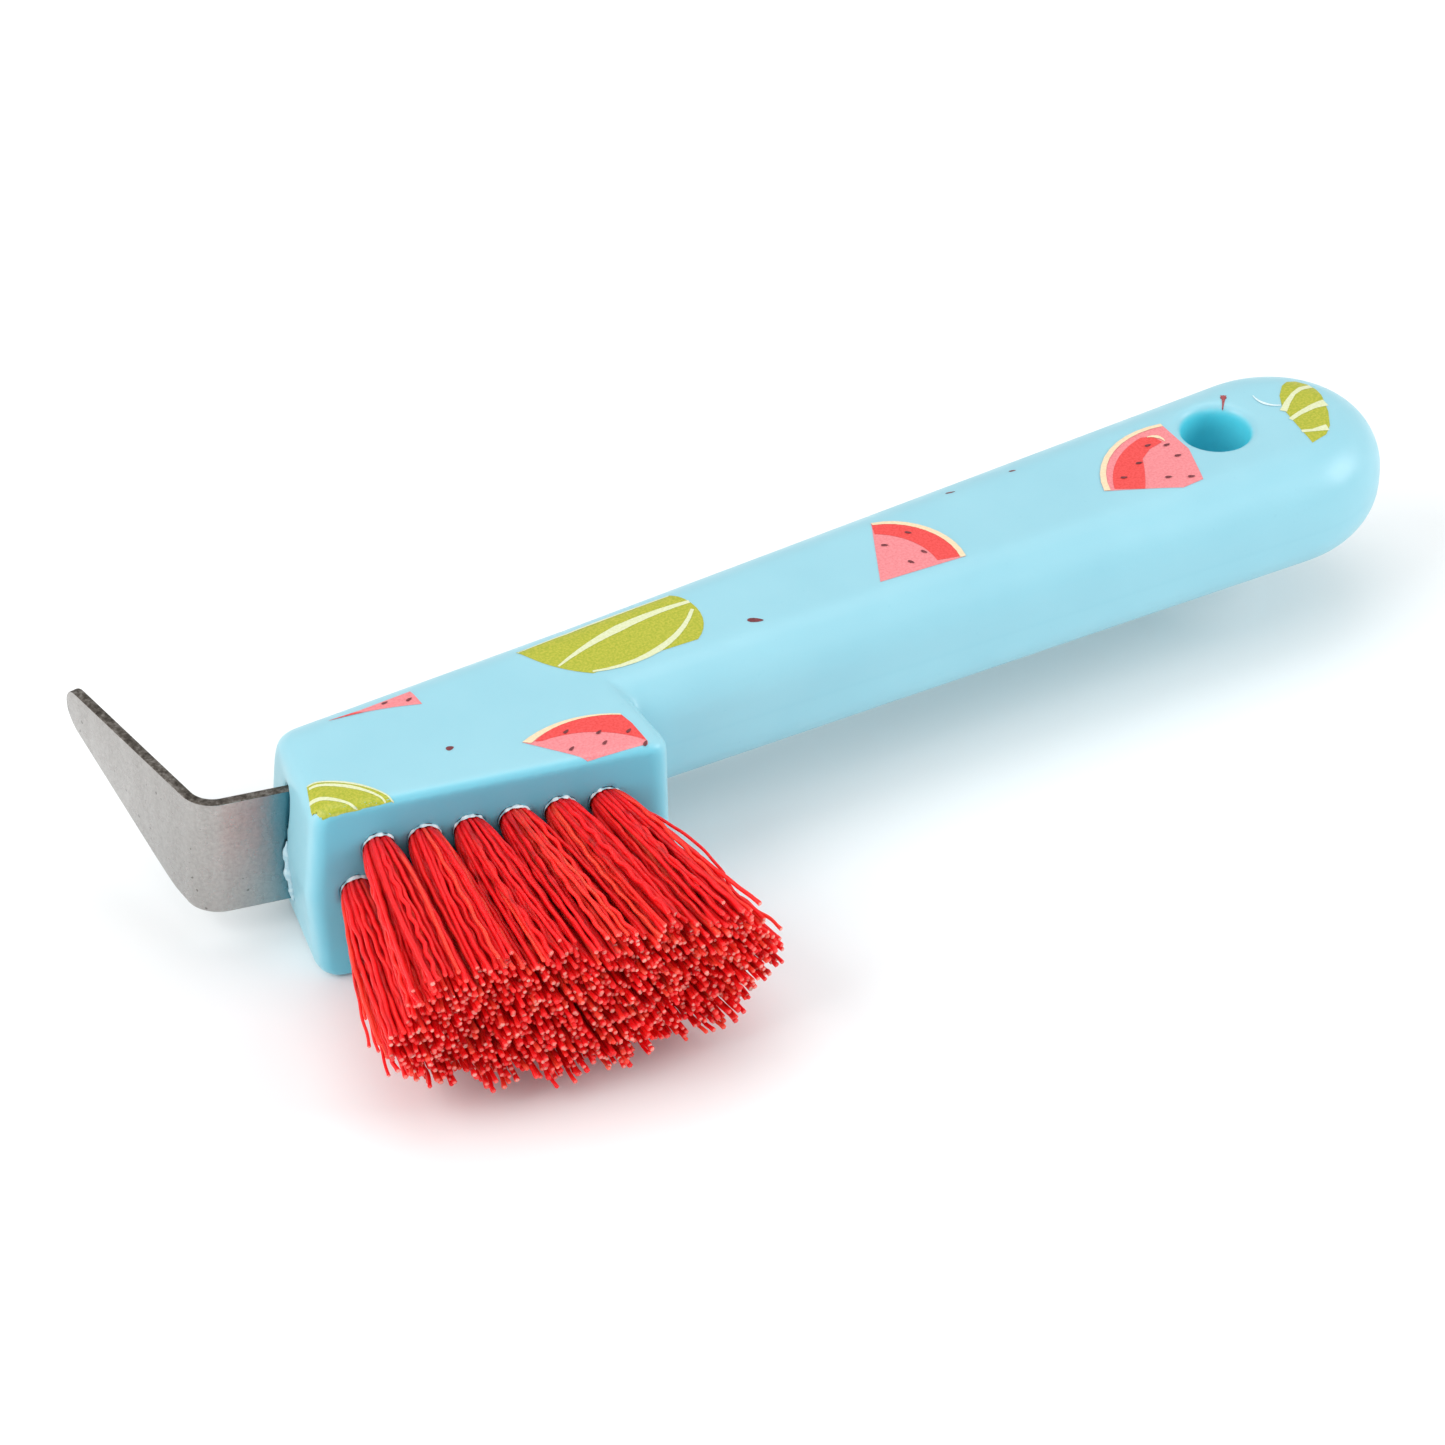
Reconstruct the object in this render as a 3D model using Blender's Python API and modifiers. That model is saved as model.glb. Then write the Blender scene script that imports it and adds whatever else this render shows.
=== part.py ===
"""Hoof pick with a stiff brush: a moulded grip and brush block, a bent steel pick and stapled bristle tufts.

Axes: +X runs along the grip from the pick to the hang hole, -Y is the bristle side, +Z is up through the
flat printed face.  Lengths below are millimetres and become metres through MM.
"""
import math

import bmesh
import bpy
from mathutils import Matrix, Vector

MM = 0.001
GAP = 0.3                       # clearance between touching pieces

# brush block: a four-sided plan with its bristle face turned away from the grip's axis
FACE_ANGLE = math.radians(12.0)
FACE_START = -0.6               # along the face, from the origin to the block's left end
FACE_END = 43.4
BLOCK_THICKNESS = 25.9
BLOCK_LEFT_DEPTH = 19.2
LEFT_DRAFT = 1.0                # how far the left end swells at mid thickness
RIGHT_DRAFT = 0.3
EDGE_ROUND = {"front": 1.0, "right": 2.0, "back": 5.8, "left": 2.4}
CORNER_ROUND = {"front_left": 2.0, "front_right": 2.2, "back_right": 0.8, "back_left": 4.0}
CORNER_SHRINK = 0.6             # how much the back left corner tightens towards the flats
LEVEL_STEP = 0.08               # least spacing of the block's sections

# grip: a tapering bar with large roundings, its flat top level with the block's top
GRIP_THICKNESS = 17.0
GRIP_AXIS_Y = 9.82
GRIP_NECK_X = 42.4
GRIP_NECK_HALF_WIDTH = 9.7
GRIP_END_X = 139.1              # where the sides turn into the half-oval end
GRIP_END_HALF_WIDTH = 13.84
GRIP_END_LENGTH = 15.1
GRIP_ROUND_NECK = 5.8
GRIP_ROUND_END = 7.8
GRIP_ROOT_X = 33.0              # where the grip starts inside the block
GRIP_ROOT_TUCK = 2.0            # how far the grip's root lies inside the block's back face
GRIP_SIDE_STEPS = 6

# hang hole through the grip
HANG_HOLE_X = 132.4
HANG_HOLE_Y = 11.4
HANG_HOLE_RADIUS = 4.4
HANG_HOLE_LIP = 1.0
LIP_STEPS = 4
HANG_HOLE_STEPS = 32

# bristle tufts: rows across the block's thickness, the middle row set half a pitch to the left
ROW_HEIGHTS = (6.0, 0.25, -5.5)
ROW_COUNTS = (6, 7, 6)
TUFT_PITCH = 5.53
OUTER_ROW_START = 7.13
TUFT_HOLE_RADIUS = 2.0
TUFT_HOLE_DEPTH = 8.6
TUFT_LENGTH = 28.0
TUFT_TIP_RADIUS = 3.3
TUFT_SECTIONS = (0.12, 0.55, 1.0)   # places of its outer sections, as shares of its length
TUFT_SIDES = 14
FAN_LEFT = math.radians(-14.0)
FAN_RIGHT = math.radians(4.0)

# flat wire anchor that holds each tuft's fold
ANCHOR_THICKNESS = 0.4
ANCHOR_DEPTH = 1.7
ANCHOR_LENGTH = 5.0
ANCHOR_SET_BACK = 6.4           # depth of the anchor's middle below the bristle face
ANCHOR_NOSE = 0.5               # size of its cut-off leading corners

# steel pick: a flat strip, straight through the block's left end, then bent back and tapered
BLADE_THICKNESS = 1.3
BLADE_FACE_OFFSET = 11.0        # from the bristle face to the middle of the strip
BLADE_TOP = 8.5
BLADE_BOTTOM = -8.0
BLADE_ROWS = 4
TANG_LENGTH = 22.0
TANG_HOLE_RADIUS = 2.6
TANG_HOLE_FROM_END = 7.0
BEND_START = 8.74               # straight length to the left of the origin
BEND_ANGLE = math.radians(71.4)
BEND_RADIUS = 3.8
HOOK_LENGTH = 25.6
HOOK_TAPER_START = 2.6
HOOK_TIP_WIDTH = 4.85
HOOK_TIP_ROUND = 2.1
TIP_SWEEP = math.radians(80.0)  # how far round the tip's corners the sections go

ARC_STEPS = 6
ROUND_SIDES = 20
CUTTER_REACH = 2.0              # how far a cutter stands past the surface it opens
PLASTIC_BLUE = (0.36, 0.72, 0.84, 1.0)
BRISTLE_RED = (0.86, 0.02, 0.02, 1.0)
STEEL_GREY = (0.50, 0.49, 0.48, 1.0)
WIRE_BRASS = (0.72, 0.58, 0.30, 1.0)


def clear_scene():
    for item in list(bpy.data.objects):
        bpy.data.objects.remove(item, do_unlink=True)


def new_collection(name):
    collection = bpy.data.collections.new(name)
    bpy.context.scene.collection.children.link(collection)
    return collection


def new_material(name, colour, roughness, metallic):
    material = bpy.data.materials.new(name)
    material.use_nodes = True
    shader = material.node_tree.nodes["Principled BSDF"]
    shader.inputs["Base Color"].default_value = colour
    shader.inputs["Roughness"].default_value = roughness
    shader.inputs["Metallic"].default_value = metallic
    material.diffuse_color = colour
    return material


def object_from_bmesh(name, bm, collection, material=None, smooth_angle=35.0):
    bmesh.ops.recalc_face_normals(bm, faces=bm.faces)
    mesh = bpy.data.meshes.new(name)
    bm.to_mesh(mesh)
    bm.free()
    mesh.shade_smooth()
    mesh.set_sharp_from_angle(angle=math.radians(smooth_angle))
    item = bpy.data.objects.new(name, mesh)
    collection.objects.link(item)
    if material:
        mesh.materials.append(material)
    return item


def as_cutter(item):
    item.hide_render = True
    item.display_type = "WIRE"
    return item


def add_boolean(item, cutter, operation):
    modifier = item.modifiers.new(operation.lower() + "_" + cutter.name, "BOOLEAN")
    modifier.operation = operation
    modifier.solver = "EXACT"
    modifier.object = cutter


def loft_rings(bm, rings):
    """Join equal rings of points into a closed body with flat end caps."""
    loops = [[bm.verts.new(Vector(point) * MM) for point in ring] for ring in rings]
    count = len(loops[0])
    for lower, upper in zip(loops, loops[1:]):
        for i in range(count):
            j = (i + 1) % count
            bm.faces.new((lower[i], lower[j], upper[j], upper[i]))
    bm.faces.new(list(reversed(loops[0])))
    bm.faces.new(loops[-1])


# ---- frame of the bristle face: u along the face, v into the block ------------------------------

FACE_U = Vector((math.cos(FACE_ANGLE), -math.sin(FACE_ANGLE), 0.0))
FACE_V = Vector((math.sin(FACE_ANGLE), math.cos(FACE_ANGLE), 0.0))
UP = Vector((0.0, 0.0, 1.0))


def face_point(u, v, z):
    return FACE_U * u + FACE_V * v + UP * z


def face_matrix(u, v, z):
    """Placement whose local X, Y and Z follow the face's u, v and up directions."""
    rotation = Matrix((FACE_U, FACE_V, UP)).transposed().to_4x4()
    return Matrix.Translation(face_point(u, v, z) * MM) @ rotation


# ---- brush block ---------------------------------------------------------------------------------

def line_intersection(a, direction_a, b, direction_b):
    cross = direction_a.x * direction_b.y - direction_a.y * direction_b.x
    offset = b - a
    distance = (offset.x * direction_b.y - offset.y * direction_b.x) / cross
    return a + direction_a * distance


def inset_polygon(corners, insets):
    """Move each side inwards by its own inset; side i runs from corner i to corner i + 1."""
    sides = []
    for i, corner in enumerate(corners):
        along = (corners[(i + 1) % len(corners)] - corner).normalized()
        inward = Vector((-along.y, along.x))
        sides.append((corner + inward * insets[i], along))
    return [line_intersection(*sides[i - 1], *sides[i]) for i in range(len(sides))]


def round_corners(corners, radii, steps):
    points = []
    for i, corner in enumerate(corners):
        before = (corners[i - 1] - corner).normalized()
        after = (corners[(i + 1) % len(corners)] - corner).normalized()
        half = before.angle(after) / 2
        centre = corner + (before + after).normalized() * (radii[i] / math.sin(half))
        start = corner + before * (radii[i] / math.tan(half)) - centre
        end = corner + after * (radii[i] / math.tan(half)) - centre
        sweep = start.angle_signed(end)
        for step in range(steps + 1):
            turned = start.copy()
            turned.rotate(Matrix.Rotation(-sweep * step / steps, 2))
            points.append(centre + turned)
    return points


def edge_inset(radius, from_top):
    """Horizontal inset of a rounded edge at a given distance below its flat."""
    if from_top >= radius:
        return 0.0
    return radius - math.sqrt(radius ** 2 - (radius - from_top) ** 2)


def grip_share(x):
    """0 at the grip's neck, 1 where its rounded end begins."""
    return (x - GRIP_NECK_X) / (GRIP_END_X - GRIP_NECK_X)


def grip_half_width(x):
    return GRIP_NECK_HALF_WIDTH + (GRIP_END_HALF_WIDTH - GRIP_NECK_HALF_WIDTH) * grip_share(x)


def grip_rounding(x):
    return GRIP_ROUND_NECK + (GRIP_ROUND_END - GRIP_ROUND_NECK) * min(max(grip_share(x), 0.0), 1.0)


def block_corners():
    front_left = FACE_U.to_2d() * FACE_START
    front_right = FACE_U.to_2d() * FACE_END
    back_right = Vector((front_right.x, GRIP_AXIS_Y + grip_half_width(front_right.x)))
    back_left = front_left + FACE_V.to_2d() * BLOCK_LEFT_DEPTH
    return [front_left, front_right, back_right, back_left]


def block_ring(z):
    half = BLOCK_THICKNESS / 2
    from_top = half - abs(z)
    swell = from_top / half
    insets = [edge_inset(EDGE_ROUND["front"], from_top),
              edge_inset(EDGE_ROUND["right"], from_top) - RIGHT_DRAFT * swell,
              edge_inset(EDGE_ROUND["back"], from_top),
              edge_inset(EDGE_ROUND["left"], from_top) - LEFT_DRAFT * swell]
    shrink = 1.0 - CORNER_SHRINK * insets[2] / EDGE_ROUND["back"]
    radii = [CORNER_ROUND["front_left"], CORNER_ROUND["front_right"],
             CORNER_ROUND["back_right"], CORNER_ROUND["back_left"] * shrink]
    outline = round_corners(inset_polygon(block_corners(), insets), radii, ARC_STEPS)
    return [(point.x, point.y, z) for point in outline]


def make_block(collection):
    half = BLOCK_THICKNESS / 2
    depths = {0.0, half}
    for radius in EDGE_ROUND.values():
        for step in range(ARC_STEPS):
            depths.add(round(radius * (1.0 - math.sin(math.pi / 2 * step / ARC_STEPS)), 3))
    levels = []
    for depth in sorted(depths):
        if not levels or depth - levels[-1] > LEVEL_STEP:
            levels.append(depth)
    heights = sorted({sign * (half - depth) for depth in levels for sign in (-1, 1)})
    bm = bmesh.new()
    loft_rings(bm, [block_ring(z) for z in heights])
    return object_from_bmesh("block_form", bm, collection)


# ---- grip ----------------------------------------------------------------------------------------

def grip_outline():
    """Plan outline as (point, outward normal, rounding radius), from the root's front corner onwards."""
    tilt = math.atan2(GRIP_END_HALF_WIDTH - GRIP_NECK_HALF_WIDTH, GRIP_END_X - GRIP_NECK_X)
    side = [(GRIP_ROOT_X, grip_half_width(GRIP_ROOT_X) - GRIP_ROOT_TUCK)]
    for step in range(GRIP_SIDE_STEPS):
        x = GRIP_NECK_X + (GRIP_END_X - GRIP_NECK_X) * step / GRIP_SIDE_STEPS
        side.append((x, grip_half_width(x)))
    outline = []
    for x, width in side:
        normal = Vector((-math.sin(tilt), -math.cos(tilt)))
        outline.append((Vector((x, GRIP_AXIS_Y - width)), normal, grip_rounding(x)))
    lead = math.atan(math.tan(tilt) * GRIP_END_LENGTH / GRIP_END_HALF_WIDTH)
    arc_steps = 4 * ARC_STEPS
    for step in range(arc_steps + 1):
        angle = -math.pi / 2 - lead + (math.pi + 2 * lead) * step / arc_steps
        point = Vector((GRIP_END_X + GRIP_END_LENGTH * math.cos(angle),
                        GRIP_AXIS_Y + GRIP_END_HALF_WIDTH * math.sin(angle)))
        normal = Vector((math.cos(angle) * GRIP_END_HALF_WIDTH, math.sin(angle) * GRIP_END_LENGTH))
        outline.append((point, normal.normalized(), GRIP_ROUND_END))
    for x, width in reversed(side):
        normal = Vector((-math.sin(tilt), math.cos(tilt)))
        outline.append((Vector((x, GRIP_AXIS_Y + width)), normal, grip_rounding(x)))
    return outline


def make_grip(collection):
    half = GRIP_THICKNESS / 2
    middle = BLOCK_THICKNESS / 2 - half
    outline = grip_outline()
    angles = [math.pi / 2 * step / ARC_STEPS for step in range(ARC_STEPS + 1)]
    turns = [(-1, angle) for angle in reversed(angles)] + [(1, angle) for angle in angles]
    rings = []
    for side, angle in turns:
        ring = []
        for point, normal, radius in outline:
            flat = point - normal * radius * (1.0 - math.cos(angle))
            height = middle + side * (half - radius + radius * math.sin(angle))
            ring.append((flat.x, flat.y, height))
        rings.append(ring)
    bm = bmesh.new()
    loft_rings(bm, rings)
    return as_cutter(object_from_bmesh("grip_form", bm, collection))


# ---- cutters -------------------------------------------------------------------------------------

def make_hang_hole(collection):
    """Turned bore with a rounded lip at both faces."""
    top = BLOCK_THICKNESS / 2
    bottom = top - GRIP_THICKNESS
    lip = HANG_HOLE_LIP
    outer = HANG_HOLE_RADIUS + lip
    turns = [math.pi / 2 * step / LIP_STEPS for step in range(LIP_STEPS + 1)]
    profile = [(0.0, top + CUTTER_REACH), (outer, top + CUTTER_REACH)]
    profile += [(outer - lip * math.sin(angle), top - lip * (1 - math.cos(angle))) for angle in turns]
    profile += [(outer - lip * math.cos(angle), bottom + lip * (1 - math.sin(angle))) for angle in turns]
    profile += [(outer, bottom - CUTTER_REACH), (0.0, bottom - CUTTER_REACH)]
    mesh = bpy.data.meshes.new("hang_hole_cutter")
    edges = [(i, i + 1) for i in range(len(profile) - 1)]
    mesh.from_pydata([(radius * MM, 0.0, z * MM) for radius, z in profile], edges, [])
    item = bpy.data.objects.new("hang_hole_cutter", mesh)
    collection.objects.link(item)
    item.location = Vector((HANG_HOLE_X, HANG_HOLE_Y, 0.0)) * MM
    screw = item.modifiers.new("turn", "SCREW")
    screw.steps = HANG_HOLE_STEPS
    screw.render_steps = HANG_HOLE_STEPS
    screw.use_merge_vertices = True
    screw.merge_threshold = 0.00001
    return as_cutter(item)


def add_cylinder(bm, matrix, radius, start, end):
    """Round bar along the matrix's Y axis from start to end, in millimetres."""
    turn = Matrix.Rotation(-math.pi / 2, 4, "X")
    shift = Matrix.Translation(Vector((0.0, (start + end) / 2, 0.0)) * MM)
    bmesh.ops.create_cone(bm, cap_ends=True, segments=ROUND_SIDES, radius1=radius * MM, radius2=radius * MM,
                          depth=(end - start) * MM, matrix=matrix @ shift @ turn)


def add_box(bm, matrix, size):
    bmesh.ops.create_cube(bm, size=1.0, matrix=matrix @ Matrix.Diagonal((*(Vector(size) * MM), 1.0)))


def tuft_places():
    """Name, position along the face and height of every tuft."""
    for row, (height, count) in enumerate(zip(ROW_HEIGHTS, ROW_COUNTS), start=1):
        start = OUTER_ROW_START - (count - ROW_COUNTS[0]) * TUFT_PITCH / 2
        for i in range(count):
            yield f"r{row}_{i + 1}", start + i * TUFT_PITCH, height


def make_tuft_holes(collection):
    bm = bmesh.new()
    for _, u, z in tuft_places():
        add_cylinder(bm, face_matrix(u, 0, z), TUFT_HOLE_RADIUS, -CUTTER_REACH, TUFT_HOLE_DEPTH)
    return as_cutter(object_from_bmesh("tuft_holes_cutter", bm, collection))


def anchor_size(clearance):
    return (ANCHOR_THICKNESS + 2 * clearance, ANCHOR_DEPTH + 2 * clearance, ANCHOR_LENGTH + 2 * clearance)


def make_anchor_slots(collection):
    bm = bmesh.new()
    for _, u, z in tuft_places():
        add_box(bm, face_matrix(u, ANCHOR_SET_BACK, z), anchor_size(GAP))
    return as_cutter(object_from_bmesh("anchor_slots_cutter", bm, collection))


def make_tang_slot(collection):
    """Slot round the tang, with a plug of plastic left standing through the tang's hole."""
    length = TANG_LENGTH + BEND_START
    width = BLADE_TOP - BLADE_BOTTOM
    middle = (BLADE_TOP + BLADE_BOTTOM) / 2
    centre_u = TANG_LENGTH + GAP - length / 2
    bm = bmesh.new()
    add_box(bm, face_matrix(centre_u, BLADE_FACE_OFFSET, middle),
            (length, BLADE_THICKNESS + 2 * GAP, width + 2 * GAP))
    slot = as_cutter(object_from_bmesh("tang_slot_cutter", bm, collection))
    bm = bmesh.new()
    plug_u = TANG_LENGTH - TANG_HOLE_FROM_END
    add_cylinder(bm, face_matrix(plug_u, BLADE_FACE_OFFSET, middle), TANG_HOLE_RADIUS - GAP,
                 -CUTTER_REACH, CUTTER_REACH)
    add_boolean(slot, as_cutter(object_from_bmesh("tang_plug_form", bm, collection)), "DIFFERENCE")
    return slot


# ---- pieces --------------------------------------------------------------------------------------

def make_handle(parts, cutters, material):
    handle = make_block(parts)
    handle.name = "handle"
    handle.data.name = "handle"
    handle.data.materials.append(material)
    add_boolean(handle, make_grip(cutters), "UNION")
    add_boolean(handle, make_hang_hole(cutters), "DIFFERENCE")
    add_boolean(handle, make_tuft_holes(cutters), "DIFFERENCE")
    add_boolean(handle, make_anchor_slots(cutters), "DIFFERENCE")
    add_boolean(handle, make_tang_slot(cutters), "DIFFERENCE")
    return handle


def hook_lower_edge(distance):
    share = max(distance - HOOK_TAPER_START, 0.0) / (HOOK_LENGTH - HOOK_TAPER_START)
    return BLADE_BOTTOM + (BLADE_TOP - HOOK_TIP_WIDTH - BLADE_BOTTOM) * share


def blade_stations():
    """Path of the strip as (point, lower edge, upper edge) from the tang's end to the pick's tip."""
    stations = []
    tang_steps = 4
    for step in range(tang_steps + 1):
        u = TANG_LENGTH - (TANG_LENGTH + BEND_START) * step / tang_steps
        stations.append((Vector((u, BLADE_FACE_OFFSET)), BLADE_BOTTOM, BLADE_TOP))
    for step in range(1, ARC_STEPS + 1):
        angle = BEND_ANGLE * step / ARC_STEPS
        point = Vector((-BEND_START - BEND_RADIUS * math.sin(angle),
                        BLADE_FACE_OFFSET + BEND_RADIUS * (1 - math.cos(angle))))
        stations.append((point, BLADE_BOTTOM, BLADE_TOP))
    bend_end = stations[-1][0]
    along = Vector((-math.cos(BEND_ANGLE), math.sin(BEND_ANGLE)))
    straight_end = HOOK_LENGTH - HOOK_TIP_ROUND
    taper_steps = 10
    for step in range(taper_steps + 1):
        distance = HOOK_TAPER_START + (straight_end - HOOK_TAPER_START) * step / taper_steps
        stations.append((bend_end + along * distance, hook_lower_edge(distance), BLADE_TOP))
    for step in range(1, ARC_STEPS + 1):
        angle = TIP_SWEEP * step / ARC_STEPS
        distance = straight_end + HOOK_TIP_ROUND * math.sin(angle)
        inset = HOOK_TIP_ROUND * (1 - math.cos(angle))
        stations.append((bend_end + along * distance, hook_lower_edge(distance) + inset, BLADE_TOP - inset))
    return stations


def make_blade(parts, cutters, material):
    bm = bmesh.new()
    columns = []
    for point, low, high in blade_stations():
        heights = [low + (high - low) * row / BLADE_ROWS for row in range(BLADE_ROWS + 1)]
        columns.append([bm.verts.new(face_point(point.x, point.y, z) * MM) for z in heights])
    for left, right in zip(columns, columns[1:]):
        for row in range(BLADE_ROWS):
            bm.faces.new((left[row], right[row], right[row + 1], left[row + 1]))
    blade = object_from_bmesh("pick_blade", bm, parts, material)
    solidify = blade.modifiers.new("sheet", "SOLIDIFY")
    solidify.thickness = BLADE_THICKNESS * MM
    solidify.offset = 0.0
    bm = bmesh.new()
    hole_u = TANG_LENGTH - TANG_HOLE_FROM_END
    hole_place = face_matrix(hole_u, BLADE_FACE_OFFSET, (BLADE_TOP + BLADE_BOTTOM) / 2)
    add_cylinder(bm, hole_place, TANG_HOLE_RADIUS, -CUTTER_REACH, CUTTER_REACH)
    add_boolean(blade, as_cutter(object_from_bmesh("tang_hole_cutter", bm, cutters)), "DIFFERENCE")
    return blade


def tuft_direction(u):
    """Lean of a tuft: the tufts fan out along the face."""
    first = OUTER_ROW_START - TUFT_PITCH / 2
    last = first + (max(ROW_COUNTS) - 1) * TUFT_PITCH
    lean = FAN_LEFT + (FAN_RIGHT - FAN_LEFT) * (u - first) / (last - first)
    return Vector((math.sin(lean), -math.cos(lean), 0.0))


def make_tuft(name, u, z, parts, cutter, material):
    """Bundle folded round its anchor: a round root in the hole, then a cone that opens towards the tips."""
    root_radius = TUFT_HOLE_RADIUS - GAP
    root_end = TUFT_HOLE_DEPTH - GAP
    inward = FACE_V
    outward = tuft_direction(u)
    mouth = face_point(u, 0.0, z)
    sections = [(mouth + inward * root_end, FACE_U, root_radius), (mouth + inward, FACE_U, root_radius)]
    side = UP.cross(outward)
    for share in TUFT_SECTIONS:
        radius = root_radius + (TUFT_TIP_RADIUS - root_radius) * share
        sections.append((mouth + outward * TUFT_LENGTH * share, side, radius))
    rings = []
    for centre, across, radius in sections:
        ring = []
        for step in range(TUFT_SIDES):
            angle = 2 * math.pi * step / TUFT_SIDES
            ring.append(centre + (across * math.cos(angle) + UP * math.sin(angle)) * radius)
        rings.append(ring)
    bm = bmesh.new()
    loft_rings(bm, rings)
    tuft = object_from_bmesh("tuft_" + name, bm, parts, material)
    add_boolean(tuft, cutter, "DIFFERENCE")
    return tuft


def make_anchor(name, u, z, parts, material):
    """Flat wire staple across the bottom of a tuft hole, its two leading corners cut off."""
    thickness, depth, length = (size / 2 for size in anchor_size(0.0))
    nose = ANCHOR_NOSE
    outline = [(-depth, -length), (depth - nose, -length), (depth, nose - length),
               (depth, length - nose), (depth - nose, length), (-depth, length)]
    bm = bmesh.new()
    loft_rings(bm, [[(offset, v, height) for v, height in outline] for offset in (-thickness, thickness)])
    bm.transform(face_matrix(u, ANCHOR_SET_BACK, z))
    return object_from_bmesh("anchor_" + name, bm, parts, material)


def seat_on_origin(frame, pieces):
    """Shift the frame so that the middle of the object's footprint is the origin."""
    depsgraph = bpy.context.evaluated_depsgraph_get()
    depsgraph.update()
    lows = Vector((math.inf,) * 3)
    highs = Vector((-math.inf,) * 3)
    for piece in pieces:
        evaluated = piece.evaluated_get(depsgraph)
        for corner in evaluated.bound_box:
            point = evaluated.matrix_world @ Vector(corner)
            lows = Vector(map(min, lows, point))
            highs = Vector(map(max, highs, point))
    frame.location = (-(lows.x + highs.x) / 2, -(lows.y + highs.y) / 2, -lows.z)


def main():
    clear_scene()
    parts = new_collection("hoof_pick")
    cutters = new_collection("cutters")
    plastic = new_material("handle_plastic", PLASTIC_BLUE, 0.30, 0.0)
    steel = new_material("blade_steel", STEEL_GREY, 0.38, 1.0)
    bristle = new_material("bristle_nylon", BRISTLE_RED, 0.35, 0.0)
    wire = new_material("anchor_wire", WIRE_BRASS, 0.35, 1.0)
    frame = bpy.data.objects.new("pick_frame", None)
    parts.objects.link(frame)
    pieces = [make_handle(parts, cutters, plastic), make_blade(parts, cutters, steel)]
    anchor_slots = cutters.objects["anchor_slots_cutter"]
    for name, u, z in tuft_places():
        pieces.append(make_tuft(name, u, z, parts, anchor_slots, bristle))
        pieces.append(make_anchor(name, u, z, parts, wire))
    for item in list(parts.objects) + list(cutters.objects):
        if item is not frame:
            item.parent = frame
    seat_on_origin(frame, pieces)


main()
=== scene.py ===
import math

import bmesh
import bpy
import numpy as np
from mathutils import Matrix, Vector
from mathutils.bvhtree import BVHTree


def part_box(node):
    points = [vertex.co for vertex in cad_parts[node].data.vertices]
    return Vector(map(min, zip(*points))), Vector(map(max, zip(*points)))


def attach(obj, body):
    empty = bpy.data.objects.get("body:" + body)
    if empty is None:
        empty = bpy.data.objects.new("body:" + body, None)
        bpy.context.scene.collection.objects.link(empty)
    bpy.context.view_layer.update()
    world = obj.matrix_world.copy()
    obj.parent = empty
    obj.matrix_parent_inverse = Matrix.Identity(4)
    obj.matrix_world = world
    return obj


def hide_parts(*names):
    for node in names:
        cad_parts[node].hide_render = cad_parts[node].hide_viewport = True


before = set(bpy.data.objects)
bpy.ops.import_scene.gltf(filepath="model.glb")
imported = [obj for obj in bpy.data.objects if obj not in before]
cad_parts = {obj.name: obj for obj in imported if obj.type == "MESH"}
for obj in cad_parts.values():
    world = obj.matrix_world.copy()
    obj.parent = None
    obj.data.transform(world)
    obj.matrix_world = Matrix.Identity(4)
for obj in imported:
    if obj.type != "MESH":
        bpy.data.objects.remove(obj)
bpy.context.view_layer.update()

MM = 0.001
GAP = 0.3

# brush block and grip
FACE_ANGLE = math.radians(12.0)
FACE_START = -0.6
FACE_END = 43.4
BLOCK_THICKNESS = 25.9
BLOCK_LEFT_DEPTH = 19.2
LEFT_DRAFT = 1.0
RIGHT_DRAFT = 0.3
EDGE_ROUND = {"front": 1.0, "right": 2.0, "back": 5.8, "left": 2.4}
CORNER_ROUND = {"front_left": 2.0, "front_right": 2.2, "back_right": 0.8, "back_left": 4.0}
CORNER_SHRINK = 0.6
LEVEL_STEP = 0.02
GRIP_THICKNESS = 17.0
GRIP_AXIS_Y = 9.82
GRIP_NECK_X = 42.4
GRIP_NECK_HALF_WIDTH = 9.7
GRIP_END_X = 139.1
GRIP_END_HALF_WIDTH = 13.84
GRIP_END_LENGTH = 15.1
GRIP_ROUND_NECK = 5.8
GRIP_ROUND_END = 7.8
GRIP_ROOT_X = 33.0
GRIP_ROOT_TUCK = 2.0
GRIP_SIDE_STEPS = 6
HANG_HOLE_X = 132.4
HANG_HOLE_Y = 11.4
HANG_HOLE_RADIUS = 4.4
HANG_HOLE_LIP = 1.2
CUTTER_REACH = 2.0
BORE_GLOW_RADIUS = 4.7  # painted light: inside this radius of the hang hole the plastic is coloured a brighter, deeper cyan, standing in for light that passes through the plastic and bounces in the hole
BORE_GLOW_FADE = 0.5
# painted shade: depth from the bristle face over which its plastic is coloured a deeper blue
FACE_SHADE_DEPTH = 1.0
PARTING_HEIGHT = 4.45
PARTING_WIDTH = 0.35

# bristle tufts and their wire anchors
ROW_HEIGHTS = (6.0, 0.25, -5.5)
ROW_COUNTS = (6, 7, 6)
TUFT_PITCH = 5.53
OUTER_ROW_START = 7.13
TUFT_HOLE_RADIUS = 2.0
TUFT_HOLE_DEPTH = 8.6
TUFT_LENGTH = 28.0
FAN_LEFT = math.radians(-14.0)
FAN_RIGHT = math.radians(4.0)
ANCHOR_SIZE = (0.4, 1.7, 5.0)
ANCHOR_SET_BACK = 6.4

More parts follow.
